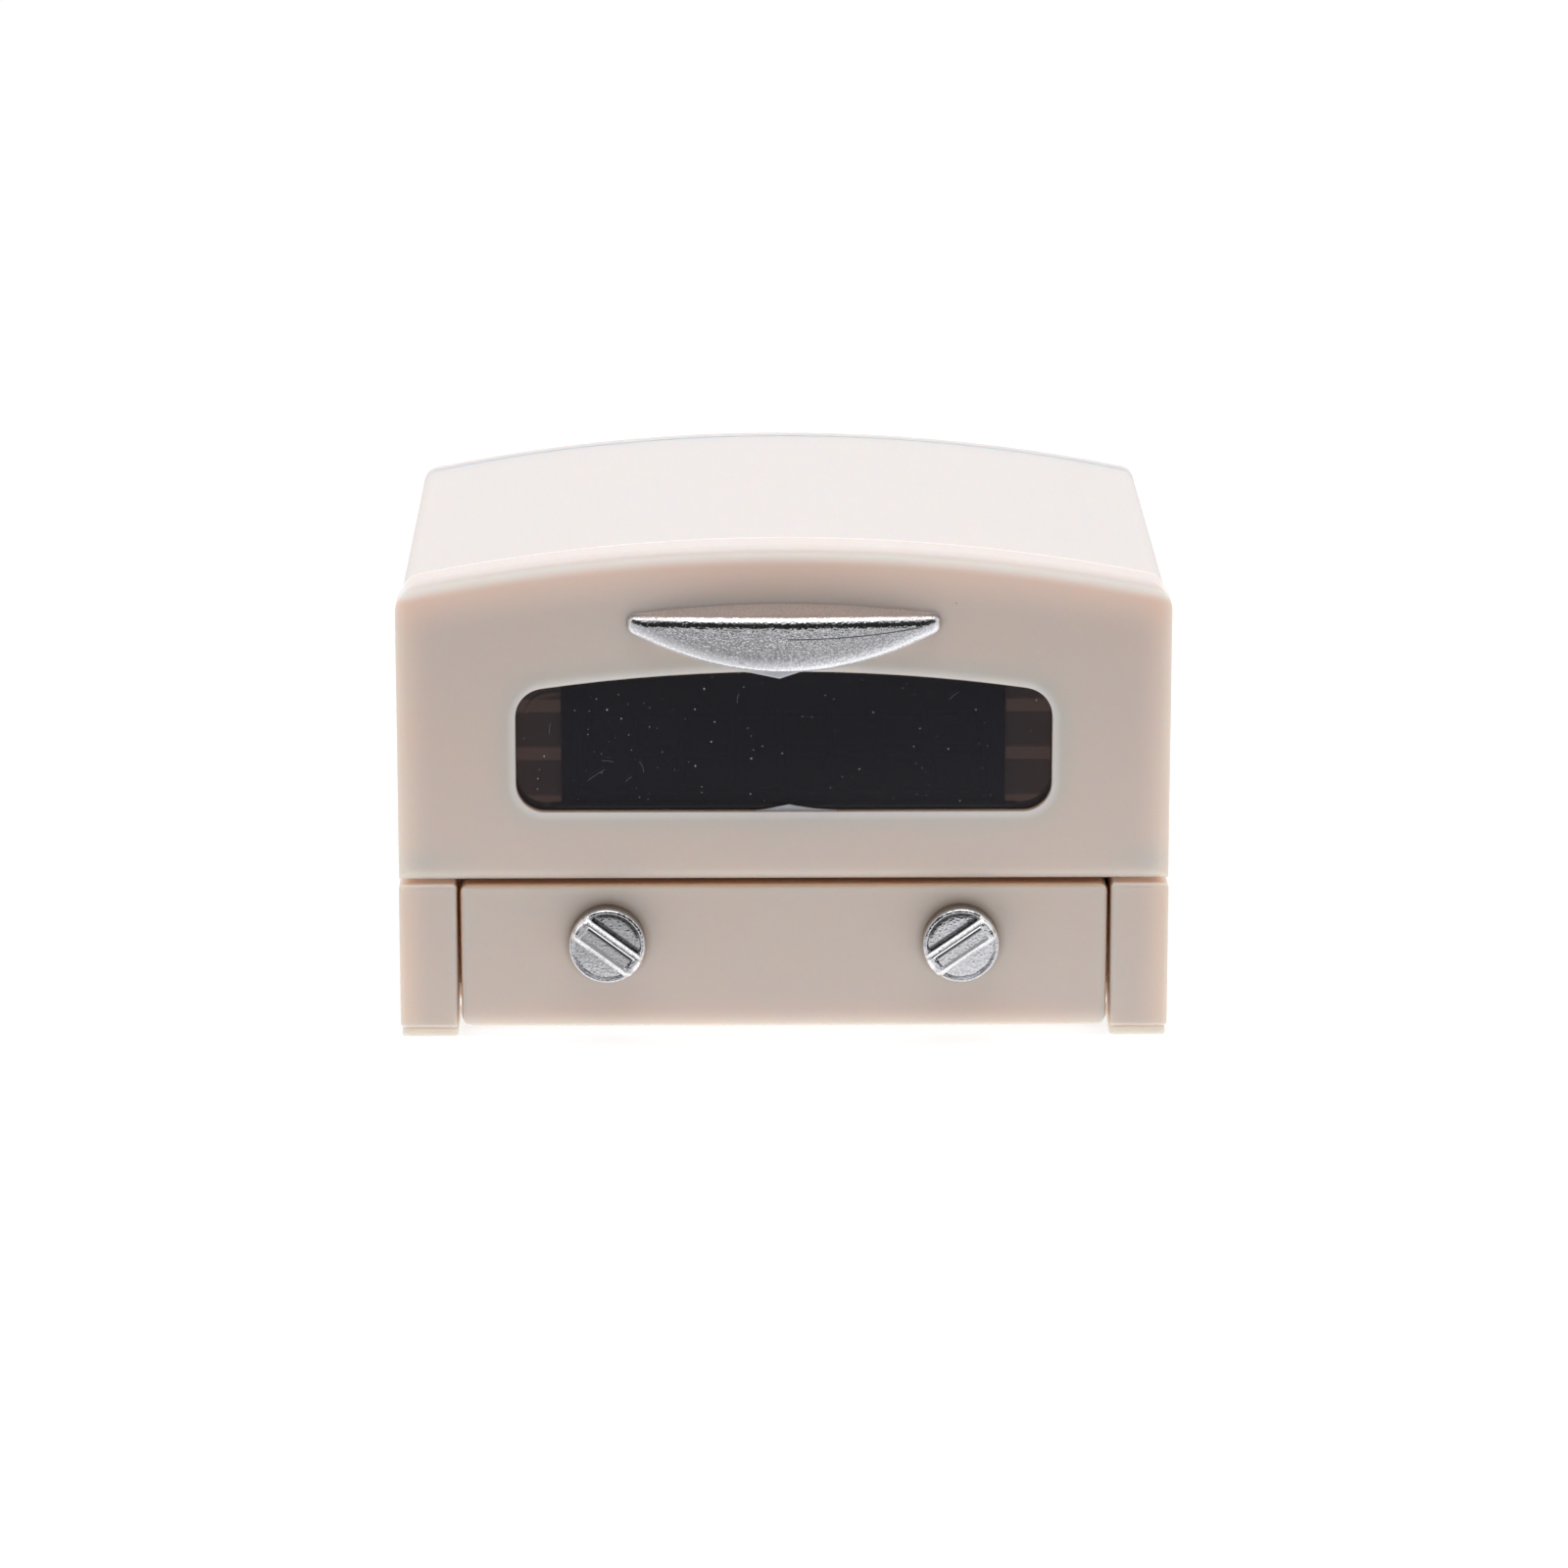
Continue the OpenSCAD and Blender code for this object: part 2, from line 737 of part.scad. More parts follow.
// Radius of an arc that departs by rise over half the handle's width.
function arc_radius(rise) = (pow(handle_w / 2, 2) + rise * rise) / (2 * rise);

// Outer form of the handle, drawn in by g on its free sides.
module handle_form(g) {
    top_z = oven_h - handle_drop;
    plan_r = arc_radius(handle_sweep);
    low_r = arc_radius(handle_rise);
    top_r = arc_radius(handle_bow);
    intersection() {
        span([-handle_w / 2 + g, front_y - handle_out, top_z - handle_h - lap],
             [handle_w / 2 - g, front_y, top_z]);
        translate([0, front_y - handle_out + plan_r, top_z - handle_h - lap])
            cylinder(h = handle_h + 2 * lap, r = plan_r - g, $fn = arc_fn);
        y_rod_fine(top_z - top_r, top_r - g);
        y_rod_fine(top_z - handle_h + low_r, low_r);
    }
}

// Fine cylinder along Y through the handle, round the axis at z.
module y_rod_fine(z, r) {
    translate([0, front_y - handle_out - lap, z])
        rotate([-90, 0, 0])
            cylinder(h = handle_out + 2 * lap, r = r, $fn = arc_fn);
}

// Crescent handle: a top wall and a bowed front wall, hollow behind, on pegs.
module door_handle() {
    color(silver) {
        difference() {
            handle_form(0);
            translate([0, 0, -lap])
                handle_hollow();
        }
        both_sides()
            y_rod(peg_pitch / 2, peg_z(), front_y - lap, front_y + peg_l, peg_d / 2);
    }
}

// Finger hollow of the handle, open to below and to the door.
module handle_hollow() {
    top_z = oven_h - handle_drop;
    plan_r = arc_radius(handle_sweep);
    top_r = arc_radius(handle_bow);
    intersection() {
        span([-handle_w / 2 + 2 * handle_wall, front_y - handle_out, top_z - 2 * handle_h],
             [handle_w / 2 - 2 * handle_wall, front_y + lap, top_z]);
        translate([0, front_y - handle_out + plan_r, top_z - 2 * handle_h])
            cylinder(h = 3 * handle_h, r = plan_r - handle_wall, $fn = arc_fn);
        y_rod_fine(top_z - top_r, top_r - peg_d - 2 * seat);
    }
}

// Rack of dark wire: a frame and long wires lying on its cross wires.
module wire_rack() {
    side_x = rack_w / 2 - frame_wire / 2;
    first_y = rack_y + frame_wire / 2;
    last_y = rack_y + rack_l - frame_wire / 2;
    pitch = 2 * side_x / (long_wires + 1);
    long_z = rack_z + (cross_wire + long_wire) / 2 - weld;
    color(black) {
        for (x = [-side_x, side_x])
            y_rod(x, rack_z, rack_y, rack_y + rack_l, frame_wire / 2);
        for (y = [first_y, (first_y + last_y) / 2, last_y])
            x_rod(y, rack_z, -side_x, side_x, cross_wire / 2);
        for (i = [1 : long_wires])
            y_rod(i * pitch - side_x, long_z, first_y - cross_wire / 2,
                last_y + cross_wire / 2, long_wire / 2);
    }
}

// Drawer front between the legs, bored for the two knob shafts.
module drawer_front() {
    color(beige)
        difference() {
            translate([0, front_y, panel_z])
                soft_block(panel_w, panel_t, panel_h, panel_low_r, panel_top_r, panel_edge);
            both_sides()
                y_rod(knob_pitch / 2, knob_z, front_y - lap, panel_back_y + lap,
                    shaft_d / 2 + shaft_play);
        }
}

// Tray behind the drawer front, open at the top and closed by the front.
module drawer_tray() {
    color(beige)
        difference() {
            span([-tray_w / 2, panel_back_y, tray_z], [tray_w / 2, tray_end_y, tray_top]);
            span([-tray_w / 2 + tray_t, panel_back_y - lap, tray_z + tray_t],
                 [tray_w / 2 - tray_t, tray_end_y - tray_t, tray_top + lap]);
        }
}

// Knob with its axis along Y: rimmed face, grip bar with a pocket, shaft.
module knob(x, angle) {
    shaft_l = panel_t + 2 * seat + clip_t;
    rim_z = knob_t - face_sink;
    color(silver)
        translate([x, knob_back_y, knob_z])
            rotate([90, angle, 0]) {
                difference() {
                    union() {
                        difference() {
                            knob_body();
                            translate([0, 0, rim_z])
                                cylinder(h = knob_t, r = knob_d / 2 - rim_w);
                        }
                        intersection() {
                            cylinder(h = knob_t + bar_h, r = knob_d / 2 - seat);
                            translate([-knob_d, -bar_w / 2, rim_z - lap])
                                cube([2 * knob_d, bar_w, face_sink + bar_h + lap]);
                        }
                    }
                    translate([-pocket_l / 2, -pocket_w / 2, knob_t + bar_h - pocket_t])
                        cube([pocket_l, pocket_w, pocket_t + lap]);
                }
                translate([0, 0, -shaft_l])
                    cylinder(h = shaft_l + lap, r = shaft_d / 2);
            }
}

// Body of a knob with its front edge rounded.
module knob_body() {
    rotate_extrude() {
        square([knob_d / 2 - knob_edge, knob_t]);
        square([knob_d / 2, knob_t - knob_edge]);
        translate([knob_d / 2 - knob_edge, knob_t - knob_edge])
            circle(knob_edge);
    }
}

module knob_left() {
    knob(-knob_pitch / 2, left_angle);
}

module knob_right() {
    knob(knob_pitch / 2, right_angle);
}

// Ring clip pressed on the end of a knob's shaft, behind the drawer front.
module knob_clip(x) {
    color(steel)
        difference() {
            y_rod(x, knob_z, clip_y, clip_y + clip_t, clip_d / 2);
            y_rod(x, knob_z, clip_y - lap, clip_y + clip_t + lap, shaft_d / 2);
        }
}

module knob_clip_left() {
    knob_clip(-knob_pitch / 2);
}

module knob_clip_right() {
    knob_clip(knob_pitch / 2);
}

housing_shell();
rear_cover();
base_frame();
deck_plate();
oven_liner();
foot_pads();
cover_screws();
hinge_pin_left();
hinge_pin_right();
door_panel();
window_pane();
window_retainer();
door_handle();
wire_rack();
drawer_front();
drawer_tray();
knob_left();
knob_right();
knob_clip_left();
knob_clip_right();
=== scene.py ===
import math

import bmesh
import bpy
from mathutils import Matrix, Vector


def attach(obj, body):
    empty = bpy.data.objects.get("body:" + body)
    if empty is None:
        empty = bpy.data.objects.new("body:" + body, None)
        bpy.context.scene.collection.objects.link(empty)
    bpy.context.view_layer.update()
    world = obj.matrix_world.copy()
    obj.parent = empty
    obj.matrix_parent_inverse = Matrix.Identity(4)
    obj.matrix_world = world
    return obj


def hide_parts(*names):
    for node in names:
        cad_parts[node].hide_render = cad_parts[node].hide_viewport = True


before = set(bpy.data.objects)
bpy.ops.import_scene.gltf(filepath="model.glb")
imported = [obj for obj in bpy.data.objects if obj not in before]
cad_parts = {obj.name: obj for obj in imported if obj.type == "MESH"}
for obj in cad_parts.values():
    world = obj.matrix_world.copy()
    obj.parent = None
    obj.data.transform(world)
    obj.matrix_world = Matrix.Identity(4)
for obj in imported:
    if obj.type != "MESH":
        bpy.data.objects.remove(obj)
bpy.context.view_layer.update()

MM = 0.001

# ---------------------------------------------------------------- Table, lamps and camera
# The oven stands on a pale table that glows softly round it, in a white room that
# darkens towards the viewer, and is seen from in front and a little above with a
# long lens, as in the photograph.

CAMERA_PLACE = Vector((-3.4431, -382.044, 113.8138)) * MM
CAMERA_DOWN = math.radians(15.021)
CAMERA_RIGHT = math.radians(0.538)
LENS = 150.10
SENSOR = 36.0

WHITE = (1.0, 1.0, 1.0, 1.0)
TABLE_PALE = (0.42, 0.42, 0.42, 1.0)
TABLE_SHOWN = (0.72, 0.72, 0.72, 1.0)
TABLE_NEAR = (0.78, 0.78, 0.78, 1.0)
TABLE_FAR = (0.10, 0.10, 0.10, 1.0)
GLOW_NEAR = 25.0
GLOW_FAR = 130.0
KNOBS_APART = 8.0
MIRROR_STEPS = ((17.0, 34.0), (48.0, 85.0), (112.0, 145.0), (200.0, 310.0))
MIRROR_NEAR = (0.95, 0.95, 0.97, 1.0)
# Painted reflections for the knobs: the table as mirrors see it in front of each knob
MIRROR_LEFT = (0.46, 0.46, 0.47, 1.0)
MIRROR_RIGHT = (0.80, 0.80, 0.82, 1.0)
MIRROR_MID = (0.30, 0.30, 0.31, 1.0)
MIRROR_HIGH = (1.10, 1.10, 1.12, 1.0)
MIRROR_FAR = (0.01, 0.01, 0.01, 1.0)
TABLE_SIZE = 4.0
ROOM_LIGHT = 0.62
VIEWER_SHADE = 0.72
MIRROR_SHADE = 0.98
CEILING_LAMP = {"place": (0.0, -0.02, 0.50), "aim": (0.0, 0.0, 0.01),
                "size": 0.45, "watts": 1.3}


class Value:
    """A socket of a finish that Python's operators reckon with."""

    def __init__(self, finish, socket):
        self.finish = finish
        self.socket = socket

    def math(self, operation, *terms):
        return self.finish.node("Math", {"operation": operation}, dict(enumerate(terms)))

    def __add__(self, other):
        return self.math("ADD", self, other)

    def __sub__(self, other):
        return self.math("SUBTRACT", self, other)

    def __rsub__(self, other):
        return self.math("SUBTRACT", other, self)

    def __mul__(self, other):
        return self.math("MULTIPLY", self, other)

    def __neg__(self):
        return self.math("MULTIPLY", self, -1.0)

    __radd__ = __add__
    __rmul__ = __mul__

    def abs(self):
        return self.math("ABSOLUTE", self)

    def sqrt(self):
        return self.math("SQRT", self)

    def at_least(self, other):
        return self.math("MAXIMUM", self, other)

    def step(self, low, high):
        """0 below low, 1 above high, and a smooth rise between them."""
        return self.finish.node("MapRange", {"interpolation_type": "SMOOTHSTEP"},
                                {0: self, 1: low, 2: high, 3: 0.0, 4: 1.0})

    def band(self, centre, width):
        """1 at centre, and 0 from half of width away."""
        return 1 - (self - centre).abs().step(0.0, width / 2)


class Finish:
    """A node tree in the making: the surface of a piece, or the room's light."""

    def __init__(self, tree):
        self.tree = tree

    def node(self, kind, settings, sockets, out=0):
        """Adds a node: its settings first, then the values or links of its sockets."""
        node = self.tree.nodes.new("ShaderNode" + kind)
        for name, setting in settings.items():
            setattr(node, name, setting)
        for key, value in sockets.items():
            self.feed(node.inputs[key], value)
        return Value(self, node.outputs[out])

    def feed(self, socket, value):
        if isinstance(value, Value):
            self.tree.links.new(value.socket, socket)
        else:
            socket.default_value = value

    def mix(self, share, first, second):
        """Blends two colours."""
        return self.node("Mix", {"data_type": "RGBA"}, {0: share, 6: first, 7: second}, out=2)

    def seen_by(self, ray):
        """1 for rays of that kind, such as Is Camera Ray, and 0 for the others."""
        return self.node("LightPath", {}, {}, out=ray)


class Surface(Finish):
    """The finish of a piece, laid out in millimetres of the oven's own frame."""

    def __init__(self, name, **constants):
        self.material = bpy.data.materials.new(name)
        self.material.use_nodes = True
        super().__init__(self.material.node_tree)
        self.shader = self.tree.nodes["Principled BSDF"]
        for socket, value in constants.items():
            self.shader.inputs[socket.replace("_", " ")].default_value = value
        metres = self.node("TexCoord", {}, {}, out="Object")
        self.place = self.node("VectorMath", {"operation": "SCALE"}, {0: metres, 3: 1 / MM})
        self.x, self.y, self.z = [
            self.node("SeparateXYZ", {}, {0: self.place}, out=axis) for axis in range(3)]

    def set(self, **sockets):
        for socket, value in sockets.items():
            self.feed(self.shader.inputs[socket.replace("_", " ")], value)

    def noise(self, size, detail=2.0, rough=0.5):
        """Soft noise with blotches about size millimetres across, around 0.5."""
        return self.node("TexNoise", {}, {"Vector": self.place, "Scale": 1 / size,
                                          "Detail": detail, "Roughness": rough})

    def dots(self, pitch, size):
        """Scattered round dots, one at most in each cell of pitch millimetres."""
        nearest = self.node("TexVoronoi", {"feature": "F1"},
                            {"Vector": self.place, "Scale": 1 / pitch})
        return 1 - nearest.step(0.4 * size / pitch, size / pitch)

    def hair(self, start, end, sag, width):
        """1 on a thin bowed line between two places (x, z) on the front, 0 beside it."""
        along = (end[0] - start[0], end[1] - start[1])
        length = math.hypot(*along)
        out, up = self.x - start[0], self.z - start[1]
        share = (out * along[0] + up * along[1]) * (1 / length ** 2)
        aside = (up * along[0] - out * along[1]) * (1 / length)
        bow = share * (1 - share) * (4 * sag)
        ends = share.step(0.0, 0.08) * (1 - share.step(0.92, 1.0))
        return (aside - bow).band(0.0, width) * ends

    def bump(self, height, depth, under=None):
        """Raises the surface by height times depth millimetres."""
        sockets = {"Height": height, "Distance": depth * MM, "Strength": 1.0}
        if under:
            sockets["Normal"] = under
        return self.node("Bump", {}, sockets)


def room_finish():
    """White to look at, and darker towards the viewer for the light and in mirrors."""
    world = bpy.data.worlds.new("room")
    world.use_nodes = True
    room = Finish(world.node_tree)
    direction = room.node("TexCoord", {}, {}, out="Generated")
    away = room.node("SeparateXYZ", {}, {0: direction}, out=1)
    upwards = room.node("SeparateXYZ", {}, {0: direction}, out=2)
    viewer_side = (-away).step(0.05, 0.55) * (1 - upwards.step(0.60, 0.85))
    mirrored = room.seen_by("Is Glossy Ray")
    light = ROOM_LIGHT * (1 - VIEWER_SHADE * viewer_side)
    mirror = 1 - MIRROR_SHADE * viewer_side
    strength = light + mirrored * (mirror - light)
    plain = room.seen_by("Is Camera Ray").at_least(room.seen_by("Is Transmission Ray"))
    background = world.node_tree.nodes["Background"]
    background.inputs["Color"].default_value = WHITE
    room.feed(background.inputs["Strength"], strength + plain * (1 - strength))
    bpy.context.scene.world = world


def table_finish():
    """Pale, lit from above, and glowing near the oven; mirrors see a painted reflection of it
    that falls off in steps, darker before the left knob than before the right.
    """
    table = Surface("table_white", Roughness=0.9, Specular_IOR_Level=0.0,
                    Emission_Strength=1.0)
    ahead = -table.y
    glow = table.mix(ahead.step(GLOW_NEAR, GLOW_FAR), TABLE_NEAR, TABLE_FAR)
    mirrored = MIRROR_NEAR
    # Painted reflection: mirrors see the table darker in front of the left knob than the right
    knob_reflection = table.mix(table.x.step(-KNOBS_APART, KNOBS_APART), MIRROR_LEFT, MIRROR_RIGHT)
    shades = knob_reflection, MIRROR_MID, MIRROR_HIGH, MIRROR_FAR
    for (start, end), shade in zip(MIRROR_STEPS, shades):
        mirrored = table.mix(ahead.step(start, end), mirrored, shade)
    in_mirror = table.seen_by("Is Glossy Ray")
    glow = table.mix(in_mirror, glow, mirrored)
    table.set(Base_Color=table.mix(in_mirror, TABLE_PALE, MIRROR_FAR),
              Emission_Color=table.mix(table.seen_by("Is Camera Ray"), glow, TABLE_SHOWN))
    return table.material


def lamp(name, place, aim, size, watts):
    """A square soft lamp at place, in metres, turned towards aim."""
    data = bpy.data.lights.new(name, "AREA")
    data.size = size
    data.energy = watts
    shown = bpy.data.objects.new(name, data)
    shown.location = place
    shown.rotation_euler = (Vector(aim) - Vector(place)).to_track_quat("-Z", "Y").to_euler()
    bpy.context.scene.collection.objects.link(shown)


room_finish()
mesh = bpy.data.meshes.new("table")
half = TABLE_SIZE / 2
mesh.from_pydata([(-half, -half, 0), (half, -half, 0), (half, half, 0), (-half, half, 0)],
                 [], [(0, 1, 2, 3)])
table = bpy.data.objects.new("table", mesh)
table.data.materials.append(table_finish())
bpy.context.scene.collection.objects.link(table)

lamp("ceiling_lamp", **CEILING_LAMP)

camera_data = bpy.data.cameras.new("camera")
camera_data.lens = LENS
camera_data.sensor_width = SENSOR
camera = bpy.data.objects.new("camera", camera_data)
camera.location = CAMERA_PLACE
camera.rotation_euler = (math.pi / 2 - CAMERA_DOWN, 0, -CAMERA_RIGHT)
bpy.context.scene.collection.objects.link(camera)
bpy.context.scene.camera = camera
bpy.context.scene.view_settings.view_transform = "Standard"

# ---------------------------------------------------------------- Lower frame and feet
# The frame is one moulding of cream plastic: a floor, two side walls and the two
# front legs. Four softer pads of a slightly yellower plastic are pegged under it.

BEIGE = (0.800, 0.690, 0.625, 1.0)
BEIGE_COOL = (0.790, 0.692, 0.636, 1.0)
LOWER_BEIGE = (0.768, 0.668, 0.606, 1.0)
LOWER_COOL = (0.760, 0.670, 0.614, 1.0)
SPECK = (0.30, 0.22, 0.17, 1.0)
PAD_BEIGE = (0.860, 0.775, 0.690, 1.0)
PAD_COOL = (0.850, 0.770, 0.670, 1.0)
PAD_GLOW = (0.050, 0.045, 0.050, 1.0)
LEG_LOW = 0.5
LIGHT_REACH = (1.0, 0.72, 0.52)
REACH = 1.5
DARK = (0.0, 0.0, 0.0, 1.0)
# Painted shade in the narrow gaps between the drawer and the legs
GAP_SHADE = (0.66, 0.45, 0.31, 1.0)
LEG_TOP = 9.2
LEG_IN = 19.1
LEG_OUT = 22.5
LEG_FRONT = -15.0
LEG_BACK = -12.0
SIDE_GLOW = (0.070, 0.045, 0.030, 1.0)
CREASE_GLOW = (0.17, 0.14, 0.12, 1.0)
DEEP_GLOW = (0.13, 0.085, 0.060, 1.0)
SAME_PLACE = 0.002
SAME_PLANE = math.radians(0.6)
SOFT_EDGE = 0.12
PAD_EDGE = 0.16
EDGE_ANGLE = math.radians(35)


def cream_plastic(name, body=BEIGE, cool=BEIGE_COOL, tint=None, glow=None, reach=REACH):
    """Satin moulded plastic that light enters and spreads in. The function tint paints light
    and shade into the colour of places, and glow paints light on those that the light inside
    would reach."""
    plastic = Surface(name, Roughness=0.38, IOR=1.49, Subsurface_Weight=1.0,
                      Subsurface_Radius=LIGHT_REACH, Subsurface_Scale=reach * MM,
                      Emission_Strength=1.0)
    colour = plastic.mix(plastic.noise(7.0).step(0.35, 0.65), body, cool)
    if tint:
        colour = tint(plastic, colour)
    gate = plastic.noise(2.3, detail=0.0).step(0.60, 0.66)
    colour = plastic.mix(plastic.dots(2.6, 0.07) * gate * 0.55, colour, SPECK)
    plastic.set(Emission_Color=glow(plastic) if glow else DARK)
    orange_peel = plastic.bump(plastic.noise(0.55, detail=1.0), 0.0035)
    plastic.set(Base_Color=colour,
                Normal=plastic.bump(plastic.noise(0.09), 0.0012, orange_peel))
    return plastic.material


def shown_piece(name, mesh, material, body, nodes):
    """Puts a mesh in the scene with its finish, on its body, in place of CAD nodes."""
    piece = bpy.data.objects.new(name, mesh)
    mesh.materials.clear()
    mesh.materials.append(material)
    bpy.context.scene.collection.objects.link(piece)
    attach(piece, body)
    if nodes:
        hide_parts(*nodes)
    return piece


def smooth(mesh, angle=EDGE_ANGLE):
    """Shades the mesh smooth, but sharp where faces meet at more than angle."""
    mesh.shade_smooth()
    mesh.set_sharp_from_angle(angle=angle)


def eased(name, node, material, body, width=SOFT_EDGE, segments=3):
    """The node's own solid with every sharp edge rounded off, as a mould leaves it."""
    solid = bmesh.new()
    solid.from_mesh(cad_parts[node].data)
    bmesh.ops.remove_doubles(solid, verts=solid.verts, dist=SAME_PLACE * MM)
    bmesh.ops.dissolve_limit(solid, angle_limit=SAME_PLANE, verts=solid.verts,
                             edges=solid.edges)
    sharp = [edge for edge in solid.edges if edge.calc_face_angle() > EDGE_ANGLE]
    bmesh.ops.bevel(solid, geom=sharp, offset=width * MM, segments=segments, profile=0.5,
                    affect="EDGES", clamp_overlap=True)
    mesh = bpy.data.meshes.new(name)
    solid.to_mesh(mesh)
    solid.free()
    smooth(mesh)
    piece = shown_piece(name, mesh, material, body, [node])
    even = piece.modifiers.new("even_shading", "WEIGHTED_NORMAL")
    even.keep_sharp = True
    return piece


def in_legs(plastic):
    """1 in the two front legs, and 0 in the frame behind them."""
    return 1 - plastic.y.step(LEG_BACK - 0.2, LEG_BACK + 0.2)


def leg_tint(plastic, colour):
    """Painted brown shade on the faces that look at the drawer, in the narrow gap."""
    beside_drawer = 1 - (plastic.x.abs() - LEG_IN).abs().step(0.0, 0.12)
    return plastic.mix(beside_drawer * in_legs(plastic) * 0.9, colour, GAP_SHADE)


def leg_glow(plastic):
    """Warm light along the outer edges and the foot, and in the crease under the door,
    where it is browner behind the eased front edge."""
    sides = 1 - (LEG_OUT - plastic.x.abs()).step(0.3, 2.0)
    crease = plastic.z.step(LEG_TOP - 0.12, LEG_TOP) * in_legs(plastic)
    crease_glow = plastic.mix(plastic.y.step(LEG_FRONT + 0.25, LEG_FRONT + 0.40),
                              CREASE_GLOW, DEEP_GLOW)
    foot = 1 - plastic.z.step(LEG_LOW + 0.1, LEG_LOW + 0.3)
    edges = plastic.mix(foot, plastic.mix(sides, DARK, SIDE_GLOW), CREASE_GLOW)
    return plastic.mix(crease, edges, crease_glow)


def pad_glow(plastic):
    """Light of the table along the pads' upper edges."""
    return plastic.mix(plastic.z.step(LEG_LOW - 0.3, LEG_LOW - 0.1), DARK, PAD_GLOW)


frame_plastic = cream_plastic("frame_plastic", LOWER_BEIGE, LOWER_COOL, leg_tint, leg_glow)
eased("lower_frame", "base_frame", frame_plastic, "housing")
pad_plastic = cream_plastic("pad_plastic", PAD_BEIGE, PAD_COOL, glow=pad_glow)
eased("foot_pads_soft", "foot_pads", pad_plastic, "housing", PAD_EDGE)

# ---------------------------------------------------------------- Deck
# A flat cream plate, cut to the inside of the oven. It lies on the frame's side walls,
# parts the oven from the drawer and carries the chamber.

DECK_EDGE = 0.08

deck_plastic = cream_plastic("deck_plastic")
eased("deck", "deck_plate", deck_plastic, "housing", DECK_EDGE)

# ---------------------------------------------------------------- Chamber and rack
# The chamber is a dull black moulded box, open in front. The rack is black coated
# wire, its long wires welded across three cross wires and a frame.

SOOT = (0.014, 0.014, 0.017, 1.0)
SOOT_GREY = (0.024, 0.024, 0.028, 1.0)
WIRE_BLACK = (0.020, 0.020, 0.023, 1.0)
CHAMBER_EDGE = 0.1


def black_plastic():
    """Dull, with faint grey patches."""
    dull = Surface("dull_black", Roughness=0.6, IOR=1.49, Specular_IOR_Level=0.3)
    dull.set(Base_Color=dull.mix(dull.noise(1.5).step(0.4, 0.7), SOOT, SOOT_GREY),
             Normal=dull.bump(dull.noise(0.12), 0.004))
    return dull.material


def coated_wire():
    """Black and without gloss, so that the rack stays hidden behind the smoked pane."""
    coat = Surface("coated_wire", Roughness=0.8, IOR=1.5, Specular_IOR_Level=0.0)
    coat.set(Base_Color=coat.mix(coat.noise(0.8).step(0.4, 0.7), WIRE_BLACK, SOOT),
             Normal=coat.bump(coat.noise(0.15), 0.003))
    return coat.material


def refinish(node, material):
    """Gives a CAD node that is shown as it is its own finish."""
    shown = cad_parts[node]
    shown.data.materials.clear()
    shown.data.materials.append(material)


eased("chamber", "oven_liner", black_plastic(), "housing", CHAMBER_EDGE)
refinish("wire_rack", coated_wire())

# ---------------------------------------------------------------- Sleeve and hinge pins
# The sleeve is one cream moulding: an arched top and two sides, with a bulkhead and
# ribs inside. Two steel pins are pressed into its ears and carry the door.

STEEL = (0.56, 0.56, 0.58, 1.0)
STEEL_DARK = (0.42, 0.42, 0.44, 1.0)


def plain_steel():
    """Bright steel, darker and rougher where it is worn."""
    steel = Surface("plain_steel", Metallic=1.0)
    wear = steel.noise(0.4, detail=3.0)
    steel.set(Base_Color=steel.mix(wear.step(0.35, 0.7), STEEL, STEEL_DARK),
              Roughness=0.28 + 0.2 * wear, Normal=steel.bump(steel.noise(0.08), 0.003))
    return steel.material


# A paler copy of the cream: painted light of the overhead lamp on the sleeve's top, also used
# for the cover and the flash
SLEEVE_LIT_PALE = (0.892, 0.816, 0.790, 1.0)
SLEEVE_LIT_COOL = (0.884, 0.814, 0.796, 1.0)
SLEEVE_REACH = 1.2
SLEEVE_EDGE = 0.05
MOUTH_Y = -12.55
RIB_Y = -11.1
BULKHEAD_Y = -10.2
INSIDE_GLOW = (0.088, 0.060, 0.049, 1.0)
RIB_GLOW = (0.350, 0.215, 0.165, 1.0)
MOUTH_GLOW = (0.20, 0.18, 0.17, 1.0)


def sleeve_glow(plastic):
    """Painted light: brown on the ribs and the wall beside the chamber, and pale at the
    sleeve's mouth, where it fills the seam with the door.
    """
    inside = plastic.y.step(RIB_Y - 0.3, RIB_Y - 0.1)
    inside = inside * (1 - plastic.y.step(BULKHEAD_Y + 0.1, BULKHEAD_Y + 0.3))
    inside = inside * (1 - plastic.x.abs().step(20.0, 20.9)) * (1 - plastic.z.step(24.5, 25.5))
    ribs = 1 - plastic.y.step(RIB_Y + 0.15, RIB_Y + 0.30)
    mouth = (1 - plastic.y.step(MOUTH_Y + 0.05, MOUTH_Y + 0.13)) * plastic.z.step(26.0, 26.6)
    brown = plastic.mix(inside, DARK, plastic.mix(ribs, INSIDE_GLOW, RIB_GLOW))
    return plastic.mix(mouth, brown, MOUTH_GLOW)


sleeve_plastic = cream_plastic("sleeve_plastic", SLEEVE_LIT_PALE, SLEEVE_LIT_COOL, glow=sleeve_glow,
                               reach=SLEEVE_REACH)
eased("sleeve", "housing_shell", sleeve_plastic, "housing", SLEEVE_EDGE)
steel = plain_steel()
refinish("hinge_pin_left", steel)
refinish("hinge_pin_right", steel)

# ---------------------------------------------------------------- Rear cover and screws
# A cream cap with shallow louvres closes the back. Four small steel screws with
# crossed heads hold it to the sleeve and the frame.

COVER_EDGE = 0.1
SCREW_EDGE = 0.06

cover_plastic = cream_plastic("cover_plastic", SLEEVE_LIT_PALE, SLEEVE_LIT_COOL, reach=SLEEVE_REACH)
eased("back_cover", "rear_cover", cover_plastic, "housing", COVER_EDGE)
eased("screws", "cover_screws", steel, "housing", SCREW_EDGE, segments=2)
